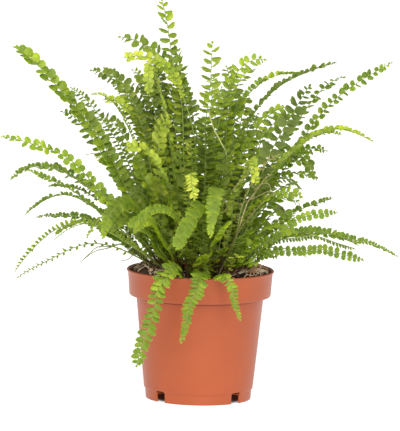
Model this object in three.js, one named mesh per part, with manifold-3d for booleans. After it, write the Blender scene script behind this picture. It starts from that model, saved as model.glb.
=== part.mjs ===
// A button fern in a 12 cm terracotta-coloured plastic nursery pot, in millimetres, +Z up.
// The origin is the middle of the pot's foot, on the surface that it stands on.
// The front of the plant, with the fronds that hang over the rim, faces -Y.
import * as THREE from "three";
import { mergeVertices } from "three/addons/utils/BufferGeometryUtils.js";
import Module from "manifold-3d";

const wasm = await Module();
wasm.setup();

// The pot: a thin wall that widens upwards from a notched foot to a tall collar.
const POT_HEIGHT = 105;
const LIP_RADIUS = 60;
const LIP_HEIGHT = 2.2;
const COLLAR_TOP_RADIUS = 58.4;
const COLLAR_FOOT_RADIUS = 57.2;
const COLLAR_HEIGHT = 21.6;
const BODY_TOP_RADIUS = 51.4;
const BODY_FOOT_RADIUS = 44;
const FOOT_TOP_RADIUS = 43;
const FOOT_RADIUS = 42.4;
const FOOT_HEIGHT = 8.4;
const FOOT_STEP = 1;
const LIP_STEP = 0.4;
const WALL = 1.5;
const FLOOR_UNDERSIDE = 6.2;
const FLOOR_TOP = 7.8;
const POT_SIDES = 32;

// Drainage notches cut through the foot and the edge of the floor, at the four diagonals.
const NOTCH_WIDTH = 9;
const NOTCH_HEIGHT = 9.2;
const NOTCH_INNER_RADIUS = 32.4;
const NOTCH_COUNT = 4;

// The root ball fills the pot and is flat on top. Every stem stands in a plain hole in it.
const SOIL_TOP = 96;
const GAP = 0.3;
const PEG_DEPTH = 9;

// The crown: stems come up at the sites of a sunflower head, so none is close to another.
const CROWN_RADIUS = 37;
const CROWN_SITES = 66;
const GOLDEN_ANGLE = Math.PI * (3 - Math.sqrt(5));

// A frond: a square stem that tapers to its tip, with a row of leaflets on each side. Leaflets
// are short at the foot of the blade, full by a quarter of it, and shorten again to the tip.
const STEM_HALF = 0.75;
const STEM_TIP_HALF = 0.42;
const STEM_RISE = 1.5;
const LEAFLET_HALF_THICKNESS = 0.3;
const LEAFLET_FILL = 0.72;
const LEAFLET_SWEEP = 0.1;
const FIRST_LEAFLET = 0.55;
const FULL_FROM = 0.25;
const FULL_TO = 0.55;
const TIP_LOSS = 0.72;
const TIP_CURVE = 1.6;
const BARE_LENGTH = 24;
const BLADE_END = 0.95;
const STAGGER = 0.4;
const ROLL_SHARE = 0.35;

const COLOURS = {
  pot: 0xc5663f,
  soil: 0x33241a,
  dark: 0x3f6b1c,
  green: 0x5b8c22,
  light: 0x7fae33,
  lime: 0xb9d638,
};
const ROUGHNESS = { pot: 0.38, soil: 0.95, leaf: 0.5 };

// Every frond: its stem's name, the places of its tip and of the middle of its arch, the half
// width of its blade, its leaflet pairs, how far its face is rolled round the stem in degrees,
// and its colour. Fronds with one name grow from the same stem.
const FRONDS = [
  ["left_1", [-151, -25, 283], [-90, -15, 219], 7.5, 12, -70, "green"],
  ["left_1", [-114, 10, 229], [-80, 6, 196], 6.5, 6, -60, "green"],
  ["left_2", [-108, 45, 245], [-69, 25, 201], 6.5, 9, -55, "dark"],
  ["left_3", [-159, -60, 215], [-91, -35, 182], 7, 10, -60, "light"],
  ["left_4", [-157, 55, 167], [-103, 35, 173], 6, 8, -25, "green"],
  ["left_5", [-141, 10, 181], [-88, 8, 152], 6.5, 8, -35, "green"],
  ["left_6", [-120, 72, 120], [-82, 42, 133], 6, 6, -25, "green"],
  ["left_6", [-96, 66, 102], [-67, 42, 117], 5, 5, -20, "dark"],
  ["left_7", [-137, 108, 172], [-90, 72, 160], 6.5, 6, -30, "dark"],
  ["left_8", [-141, -35, 150], [-91, -22, 160], 6, 7, -25, "green"],
  ["left_9", [-132, -5, 145], [-82, -5, 139], 8, 9, -60, "dark"],
  ["left_10", [-146, -80, 111], [-92, -54, 145], 7, 9, -50, "green"],
  ["left_11", [-145, -49, 102], [-79, -24, 125], 5, 7, -25, "green"],
  ["left_12", [-88, 80, 185], [-55, 45, 162], 6, 6, -30, "lime"],
  ["left_13", [-71, -60, 141], [-49, -43, 147], 8, 5, -20, "green"],
  ["left_13", [-58, -42, 166], [-42, -32, 160], 8, 5, -20, "dark"],
  ["left_13", [-77, -95, 141], [-54, -50, 163], 9, 8, -15, "light"],
  ["left_14", [-57, -104, 151], [-21, -59, 156], 8, 7, 0, "light"],
  ["upper_1", [-60, -75, 209], [-32, -52, 188], 7, 7, 0, "lime"],
  ["upper_1", [-54, -55, 203], [-40, -40, 168], 8, 6, -30, "green"],
  ["upper_2", [-28, -45, 231], [-35, -28, 191], 7, 7, 0, "lime"],
  ["upper_3", [-64, 4, 274], [-14, -11, 239], 7, 9, -55, "lime"],
  ["upper_4", [-43, -47, 249], [-37, -30, 256], 7, 8, 0, "lime"],
  ["upper_5", [-69, 58, 286], [-13, 42, 236], 7.5, 9, -50, "green"],
  ["upper_6", [-92, 60, 258], [-41, 30, 217], 7, 8, -45, "dark"],
  ["upper_6", [-82, 95, 257], [-43, 60, 202], 7, 7, -40, "dark"],
  ["upper_7", [-80, 14, 239], [-45, 4, 207], 6.5, 7, -40, "lime"],
  ["upper_7", [-70, -18, 226], [-50, -14, 185], 7.5, 7, -60, "dark"],
  ["upper_7", [-58, 0, 242], [-44, 0, 200], 7.5, 7, -60, "dark"],
  ["top_1", [-35, 10, 320], [-19, 5, 235], 8, 12, -80, "green"],
  ["top_1", [-37, 25, 262], [-26, 14, 205], 8, 7, -80, "dark"],
  ["top_2", [6, -20, 289], [3, -14, 210], 7.5, 10, 0, "light"],
  ["top_2", [2, -28, 229], [1, -17, 185], 8, 7, 0, "dark"],
  ["top_3", [48, 0, 275], [15, -2, 235], 8.5, 10, 50, "light"],
  ["top_3", [67, 2, 237], [32, 0, 199], 8, 6, 50, "light"],
  ["top_4", [41, 75, 260], [17, 47, 219], 7.5, 7, 35, "dark"],
  ["top_4", [18, 75, 262], [19, 48, 213], 8, 7, 20, "green"],
  ["top_5", [79, 48, 260], [21, 34, 221], 6.5, 9, 40, "green"],
  ["top_6", [104, -50, 278], [29, -28, 218], 6, 10, 40, "dark"],
  ["right_1", [149, -20, 276], [75, -12, 210], 7.5, 12, 55, "green"],
  ["right_2", [115, 60, 257], [72, 35, 215], 6, 7, 40, "dark"],
  ["right_2", [93, 55, 173], [60, 36, 190], 8, 8, 50, "green"],
  ["right_3", [135, -45, 215], [72, -30, 206], 7, 10, 30, "light"],
  ["right_4", [83, -60, 260], [54, -45, 202], 8.5, 9, -65, "dark"],
  ["right_5", [111, 6, 215], [66, 3, 193], 6.5, 7, 45, "green"],
  ["right_5", [100, 12, 201], [63, 7, 183], 6.5, 6, 45, "green"],
  ["right_6", [106, 20, 162], [60, 10, 138], 6.5, 6, 45, "dark"],
  ["right_7", [107, -60, 160], [63, -40, 142], 7, 8, 50, "light"],
  ["right_8", [157, -20, 121], [75, -12, 137], 8, 12, 40, "green"],
  ["right_8", [121, -79, 134], [63, -35, 134], 7, 7, 40, "dark"],
  ["right_9", [128, -75, 124], [66, -40, 126], 7.5, 10, 50, "green"],
  ["right_10", [128, 50, 120], [76, 30, 129], 6.5, 6, 45, "dark"],
  ["right_11", [88, 75, 105], [61, 45, 114], 5, 6, 30, "dark"],
  ["right_12", [81, 90, 161], [49, 50, 164], 8, 6, 30, "green"],
  ["right_13", [42, -75, 183], [34, -50, 191], 7, 7, 0, "lime"],
  ["right_13", [18, -55, 207], [15, -35, 170], 8, 6, 0, "green"],
  ["front_1", [-19, -122, 137], [1, -65, 163], 9, 8, 0, "light"],
  ["front_2", [7, -115, 146], [11, -65, 177], 8.5, 8, 0, "light"],
  ["front_3", [-6, -105, 174], [-10, -62, 184], 8, 7, 0, "lime"],
  ["front_3", [-18, -60, 207], [-14, -40, 172], 8, 6, 0, "green"],
  ["front_4", [32, -62, 124], [25, -47, 117], 5, 4, 0, "lime"],
  ["rim_1", [-49, -76, 37], [-26, -70, 111], 8.5, 9, 0, "light"],
  ["rim_2", [-14, -84, 58], [-1, -74, 106], 8, 8, 0, "light"],
  ["rim_3", [32, -80, 76], [19, -72, 108], 6.5, 7, 0, "light"],
  ["heart_1", [-17, 60, 248], [-12, 36, 199], 8, 6, 0, "dark"],
  ["heart_2", [37, 48, 239], [27, 33, 203], 8, 7, 60, "green"],
  ["heart_2", [54, 56, 213], [36, 39, 176], 8, 6, 50, "dark"],
  ["right_14", [79, -60, 172], [50, -46, 163], 8, 5, 30, "green"],
  ["right_14", [75, -70, 144], [48, -54, 142], 8, 5, 30, "green"],
  ["back_1", [60, 100, 225], [30, 55, 190], 7.5, 6, 0, "green"],
  ["back_2", [20, 118, 190], [10, 70, 185], 7.5, 6, 0, "green"],
  ["back_2", [-20, 122, 125], [-10, 80, 150], 7.5, 6, 0, "green"],
  ["back_3", [-30, 110, 225], [-14, 58, 200], 7.5, 6, 0, "dark"],
  ["back_4", [-70, 112, 160], [-38, 68, 165], 7.5, 6, 0, "green"],
  ["back_5", [75, 112, 130], [42, 68, 150], 7.5, 6, 0, "dark"],
  ["back_6", [6, 102, 250], [4, 62, 205], 7.5, 6, 0, "light"],
];

// The crown sites, from the middle outwards.
function crownSites() {
  return Array.from({ length: CROWN_SITES }, (_, i) => {
    const radius = CROWN_RADIUS * Math.sqrt((i + 0.5) / CROWN_SITES);
    return new THREE.Vector2(
      radius * Math.cos(i * GOLDEN_ANGLE),
      radius * Math.sin(i * GOLDEN_ANGLE),
    );
  });
}

// A stem takes the free site nearest to where its lean would have it, low fronds further out.
function takeSite(free, middle) {
  const reach = Math.hypot(middle.x, middle.y);
  const lean = reach / Math.hypot(reach, middle.z - SOIL_TOP);
  const wish = new THREE.Vector2(middle.x, middle.y).setLength(
    CROWN_RADIUS * lean,
  );
  let best = 0;
  free.forEach((site, i) => {
    if (site.distanceTo(wish) < free[best].distanceTo(wish)) best = i;
  });
  return free.splice(best, 1)[0];
}

// The arch of a frond: a curve from the soil through its middle to its tip.
function archOf(root, middle, tip) {
  const control = middle
    .clone()
    .multiplyScalar(2)
    .sub(root.clone().add(tip).multiplyScalar(0.5));
  return new THREE.QuadraticBezierCurve3(root, control, tip);
}

// The length of a leaflet at u along the blade, as a share of the half width.
function leafletShare(u) {
  const grown = THREE.MathUtils.smoothstep(u, 0, FULL_FROM);
  const base = THREE.MathUtils.lerp(FIRST_LEAFLET, 1, grown);
  const past = Math.max(0, (u - FULL_TO) / (1 - FULL_TO));
  return base * (1 - TIP_LOSS * past ** TIP_CURVE);
}

// The level direction across a frond that leans from its root towards its tip.
function acrossOf(root, tip) {
  return new THREE.Vector3(root.y - tip.y, tip.x - root.x, 0).normalize();
}

// One frond as one closed solid: rings of four corners along the stem, and between two rings
// a flat leaflet on each side whose root fills the side of the stem.
function frondGeometry(root, pegAcross, { middle, tip, halfWidth, pairs, roll }) {
  const arch = archOf(root, middle, tip);
  const length = arch.getLength();
  const across = acrossOf(root, tip);
  const bladeStart = BARE_LENGTH / length;
  const pitch = (BLADE_END - bladeStart) / pairs;

  const frameAt = (s) => {
    const along = arch.getTangentAt(s);
    const side = across
      .clone()
      .addScaledVector(along, -across.dot(along))
      .normalize()
      .applyAxisAngle(
        along,
        THREE.MathUtils.degToRad(roll) *
          THREE.MathUtils.smoothstep(s, 0, ROLL_SHARE),
      );
    const face = along.clone().cross(side);
    return { point: arch.getPointAt(s), along, side, face };
  };

  const positions = [];
  const index = [];
  const vertex = (frame, forward, sideways, up) => {
    const p = frame.point
      .clone()
      .addScaledVector(frame.along, forward)
      .addScaledVector(frame.side, sideways)
      .addScaledVector(frame.face, up);
    positions.push(p.x, p.y, p.z);
    return positions.length / 3 - 1;
  };
  const face = (corners, turned) => {
    const c = turned ? [...corners].reverse() : corners;
    index.push(c[0], c[1], c[2]);
    if (c.length > 3) index.push(c[0], c[2], c[3]);
  };

  // One ring: its left and right corners may lie at different places along the stem.
  const ring = (leftFrame, rightFrame, half) => ({
    top: [vertex(leftFrame, 0, half, half), vertex(rightFrame, 0, -half, half)],
    bottom: [
      vertex(leftFrame, 0, half, -half),
      vertex(rightFrame, 0, -half, -half),
    ],
  });
  const halfAt = (s) => THREE.MathUtils.lerp(STEM_HALF, STEM_TIP_HALF, s);
  const up = new THREE.Vector3(0, 0, 1);
  const upright = {
    point: root,
    along: up,
    side: pegAcross,
    face: up.clone().cross(pegAcross),
  };
  const pegFoot = { ...upright, point: root.clone().setZ(SOIL_TOP - PEG_DEPTH) };
  const pegTop = { ...upright, point: root.clone().setZ(SOIL_TOP + STEM_RISE) };
  const rings = [
    ring(pegFoot, pegFoot, STEM_HALF),
    ring(pegTop, pegTop, STEM_HALF),
  ];
  const firstBladeRing = rings.length;
  for (let k = 0; k <= pairs; k++) {
    const s = bladeStart + k * pitch;
    const stagger = k > 0 && k < pairs ? STAGGER * pitch : 0;
    rings.push(ring(frameAt(s), frameAt(s + stagger), halfAt(s)));
  }

  const stemSides = (a, b, i) => {
    face([a.top[i], b.top[i], b.bottom[i], a.bottom[i]], i === 1);
  };
  const leaflet = (a, b, i, k) => {
    const shift = i === 1 ? STAGGER : 0;
    const from = k > 0 ? k + shift : k;
    const to = k + 1 < pairs ? k + 1 + shift : k + 1;
    const s = bladeStart + ((from + to) / 2) * pitch;
    const frame = frameAt(s);
    const reach = halfWidth * leafletShare((s - bladeStart) / (1 - bladeStart));
    const half = ((to - from) * pitch * length * LEAFLET_FILL) / 2;
    const sideways = i === 0 ? reach : -reach;
    const sweep = reach * LEAFLET_SWEEP;
    const corner = (forward, up) => vertex(frame, forward, sideways, up);
    const near = [
      corner(sweep - half, LEAFLET_HALF_THICKNESS),
      corner(sweep - half, -LEAFLET_HALF_THICKNESS),
    ];
    const far = [
      corner(sweep + half, LEAFLET_HALF_THICKNESS),
      corner(sweep + half, -LEAFLET_HALF_THICKNESS),
    ];
    const turned = i === 1;
    face([a.top[i], b.top[i], far[0], near[0]], turned);
    face([a.bottom[i], near[1], far[1], b.bottom[i]], turned);
    face([near[0], far[0], far[1], near[1]], turned);
    face([a.top[i], near[0], near[1], a.bottom[i]], turned);
    face([b.top[i], b.bottom[i], far[1], far[0]], turned);
  };

  for (let r = 0; r + 1 < rings.length; r++) {
    const [a, b] = [rings[r], rings[r + 1]];
    face([a.top[1], b.top[1], b.top[0], a.top[0]]);
    face([a.bottom[0], b.bottom[0], b.bottom[1], a.bottom[1]]);
    for (const i of [0, 1]) {
      if (r < firstBladeRing) stemSides(a, b, i);
      else leaflet(a, b, i, r - firstBladeRing);
    }
  }

  const first = rings[0];
  face([first.top[0], first.bottom[0], first.bottom[1], first.top[1]]);
  const last = rings[rings.length - 1];
  const end = frameAt(1);
  const tipTop = vertex(end, 0, 0, LEAFLET_HALF_THICKNESS);
  const tipBottom = vertex(end, 0, 0, -LEAFLET_HALF_THICKNESS);
  face([last.top[1], tipTop, last.top[0]]);
  face([last.bottom[0], tipBottom, last.bottom[1]]);
  face([last.top[0], tipTop, tipBottom, last.bottom[0]]);
  face([last.top[1], last.bottom[1], tipBottom, tipTop]);

  const geometry = new THREE.BufferGeometry();
  geometry.setAttribute(
    "position",
    new THREE.Float32BufferAttribute(positions, 3),
  );
  geometry.setIndex(index);
  return geometry;
}

// manifold-3d joins and cuts closed meshes whose shared vertices are merged.
const MERGE_DISTANCE = 1e-4;

function solidOf(geometry) {
  const bare = geometry.clone();
  bare.deleteAttribute("normal");
  bare.deleteAttribute("uv");
  const merged = mergeVertices(bare, MERGE_DISTANCE);
  return new wasm.Manifold(
    new wasm.Mesh({
      numProp: 3,
      vertProperties: merged.getAttribute("position").array,
      triVerts: new Uint32Array(merged.index.array),
    }),
  );
}

function geometryOf(solid) {
  const mesh = solid.getMesh();
  return new THREE.BufferGeometry()
    .setAttribute("position", new THREE.BufferAttribute(mesh.vertProperties, 3))
    .setIndex(new THREE.BufferAttribute(mesh.triVerts, 1));
}

const lathe = (profile) =>
  new THREE.LatheGeometry(
    profile.map(([radius, height]) => new THREE.Vector2(radius, height)),
    POT_SIDES,
  ).rotateX(Math.PI / 2);

// The pot in section, from under the floor, up the outside, over the lip and down the inside.
function potGeometry() {
  const collarFoot = POT_HEIGHT - COLLAR_HEIGHT;
  const lipFoot = POT_HEIGHT - LIP_HEIGHT;
  const profile = [
    [0, FLOOR_UNDERSIDE],
    [FOOT_RADIUS - WALL, FLOOR_UNDERSIDE],
    [FOOT_RADIUS - WALL, 0],
    [FOOT_RADIUS, 0],
    [FOOT_TOP_RADIUS, FOOT_HEIGHT],
    [BODY_FOOT_RADIUS, FOOT_HEIGHT + FOOT_STEP],
    [BODY_TOP_RADIUS, collarFoot],
    [COLLAR_FOOT_RADIUS, collarFoot],
    [COLLAR_TOP_RADIUS, lipFoot],
    [LIP_RADIUS, lipFoot + LIP_STEP],
    [LIP_RADIUS, POT_HEIGHT],
    [COLLAR_TOP_RADIUS - WALL, POT_HEIGHT],
    [COLLAR_FOOT_RADIUS - WALL, collarFoot + WALL],
    [BODY_TOP_RADIUS - WALL, collarFoot + WALL],
    [FOOT_TOP_RADIUS - WALL, FLOOR_TOP],
    [0, FLOOR_TOP],
  ];
  let pot = solidOf(lathe(profile));
  for (let i = 0; i < NOTCH_COUNT; i++) {
    const depth = LIP_RADIUS - NOTCH_INNER_RADIUS;
    const notch = new THREE.BoxGeometry(depth, NOTCH_WIDTH, 2 * NOTCH_HEIGHT)
      .translate(NOTCH_INNER_RADIUS + depth / 2, 0, 0)
      .rotateZ(((i + 0.5) * 2 * Math.PI) / NOTCH_COUNT);
    pot = pot.subtract(solidOf(notch));
  }
  return geometryOf(pot);
}

// The root ball, with a hole for every stem, turned as the stem is.
function soilGeometry(stems) {
  const collarFoot = POT_HEIGHT - COLLAR_HEIGHT + WALL + GAP;
  const inner = WALL + GAP;
  const profile = [
    [0, FLOOR_TOP + GAP],
    [FOOT_TOP_RADIUS - inner, FLOOR_TOP + GAP],
    [BODY_TOP_RADIUS - inner, collarFoot],
    [COLLAR_FOOT_RADIUS - inner, collarFoot],
    [COLLAR_FOOT_RADIUS - inner, SOIL_TOP],
    [0, SOIL_TOP],
  ];
  let soil = solidOf(lathe(profile));
  const size = 2 * (STEM_HALF + GAP);
  const depth = PEG_DEPTH + GAP;
  for (const { root, across } of stems.values()) {
    const hole = new THREE.BoxGeometry(size, size, 2 * depth)
      .rotateZ(Math.atan2(across.y, across.x))
      .translate(root.x, root.y, SOIL_TOP);
    soil = soil.subtract(solidOf(hole));
  }
  return geometryOf(soil);
}

const material = (color, roughness) =>
  new THREE.MeshStandardMaterial({ color, roughness, metalness: 0 });
const POT_MATERIAL = material(COLOURS.pot, ROUGHNESS.pot);
const SOIL_MATERIAL = material(COLOURS.soil, ROUGHNESS.soil);

const plant = new THREE.Group();
plant.name = "potted_fern";

function addPiece(name, geometry, pieceMaterial) {
  const mesh = new THREE.Mesh(geometry, pieceMaterial);
  mesh.name = name;
  plant.add(mesh);
}

// The stems, in the order of their first fronds, each with its own site in the crown. A stem
// has the level direction across its first frond, and the colour of that frond.
function stemsOf(fronds) {
  const freeSites = crownSites();
  const stems = new Map();
  for (const [name, tip, middle, halfWidth, pairs, roll, colour] of fronds) {
    const frond = {
      tip: new THREE.Vector3(...tip),
      middle: new THREE.Vector3(...middle),
      halfWidth,
      pairs,
      roll,
    };
    if (stems.has(name)) {
      stems.get(name).fronds.push(frond);
      continue;
    }
    const site = takeSite(freeSites, frond.middle);
    const root = new THREE.Vector3(site.x, site.y, SOIL_TOP);
    const across = acrossOf(root, frond.tip);
    stems.set(name, { root, across, colour, fronds: [frond] });
  }
  return stems;
}

function stemGeometry({ root, across, fronds }) {
  const solids = fronds.map((frond) =>
    solidOf(frondGeometry(root, across, frond)),
  );
  return geometryOf(solids.reduce((whole, solid) => whole.add(solid)));
}

const stems = stemsOf(FRONDS);
addPiece("pot", potGeometry(), POT_MATERIAL);
addPiece("soil", soilGeometry(stems), SOIL_MATERIAL);
for (const [name, stem] of stems) {
  const leafMaterial = material(COLOURS[stem.colour], ROUGHNESS.leaf);
  addPiece(`frond_${name}`, stemGeometry(stem), leafMaterial);
}

export default plant;
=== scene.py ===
import math
import random
from collections import namedtuple

import bmesh
import bpy
from mathutils import Matrix, Quaternion, Vector, noise


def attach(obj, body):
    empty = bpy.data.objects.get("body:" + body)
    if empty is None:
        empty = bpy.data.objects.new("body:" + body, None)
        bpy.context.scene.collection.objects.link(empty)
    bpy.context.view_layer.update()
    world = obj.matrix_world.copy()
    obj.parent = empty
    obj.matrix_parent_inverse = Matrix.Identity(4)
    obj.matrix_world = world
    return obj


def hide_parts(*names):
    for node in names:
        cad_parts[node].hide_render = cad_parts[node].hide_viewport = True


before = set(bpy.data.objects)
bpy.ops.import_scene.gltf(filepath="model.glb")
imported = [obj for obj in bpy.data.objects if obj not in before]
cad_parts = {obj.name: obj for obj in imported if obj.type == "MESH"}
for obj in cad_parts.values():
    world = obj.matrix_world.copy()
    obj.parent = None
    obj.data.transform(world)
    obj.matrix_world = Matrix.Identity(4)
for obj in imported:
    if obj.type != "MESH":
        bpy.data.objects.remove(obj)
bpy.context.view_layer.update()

MM = 0.001
UP = Vector((0, 0, 1))

# The camera: about 3.5 m in front of the plant, a little above it, and turned slightly in its
# plane. Its reach is in metres.
CAMERA_PLACE = Vector((-1.2, -3500, 584))
CAMERA_AIM = Vector((-1.2, 0, 148))
CAMERA_TURN = math.radians(1.1)
CAMERA_SENSOR = 36
CAMERA_LENS = 366
CAMERA_REACH = 100

# The studio: a wide white floor and surround, one very soft light from high in front, and a tall
# soft box that draws the upright highlight on the pot. The floor's glow starts a little inside
# the edge of the pot's foot.
FLOOR_SIZE = 40000
FLOOR_GLOW = 0.8
FLOOR_GLOW_EDGE = 9
SURROUND_STRENGTH = 0.5
OVERHEAD_STRENGTH = 2.1
OVERHEAD_SPREAD = math.radians(55)
OVERHEAD_PLACE = Vector((-200, -2300, 2300))
SOFT_BOX_PLACE = Vector((600, -1950, 350))
SOFT_BOX_WIDTH = 300
SOFT_BOX_HEIGHT = 1300
SOFT_BOX_WATTS = 9

# The pot, as in the part: a tall collar on a tapered body with a stepped foot.
POT_HEIGHT = 105
LIP_RADIUS = 60
COLLAR_TOP_RADIUS = 58.4
COLLAR_FOOT_RADIUS = 57.2
COLLAR_HEIGHT = 21.6
BODY_TOP_RADIUS = 51.4
BODY_FOOT_RADIUS = 44
FOOT_TOP_RADIUS = 43
FOOT_RADIUS = 42.4
FOOT_HEIGHT = 8.4
FOOT_STEP = 1
WALL = 1.5
FLOOR_MIDDLE = 7
NOTCH_HEIGHT = 9.2
NOTCH_INNER_RADIUS = 32.4
NOTCH_COUNT = 4
# A thin band of painted shade on the body just under the collar: its height and how far it
# reaches.
COLLAR_SHADE_HEIGHT = 82.6
COLLAR_SHADE_REACH = 1.1
POT_STEPS = 120
NOTCH_STEPS = 4

# The root ball and the crown, as in the part.
SOIL_TOP = 96
CROWN_RADIUS = 37
CROWN_SITES = 66
GOLDEN_ANGLE = math.pi * (3 - math.sqrt(5))

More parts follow.
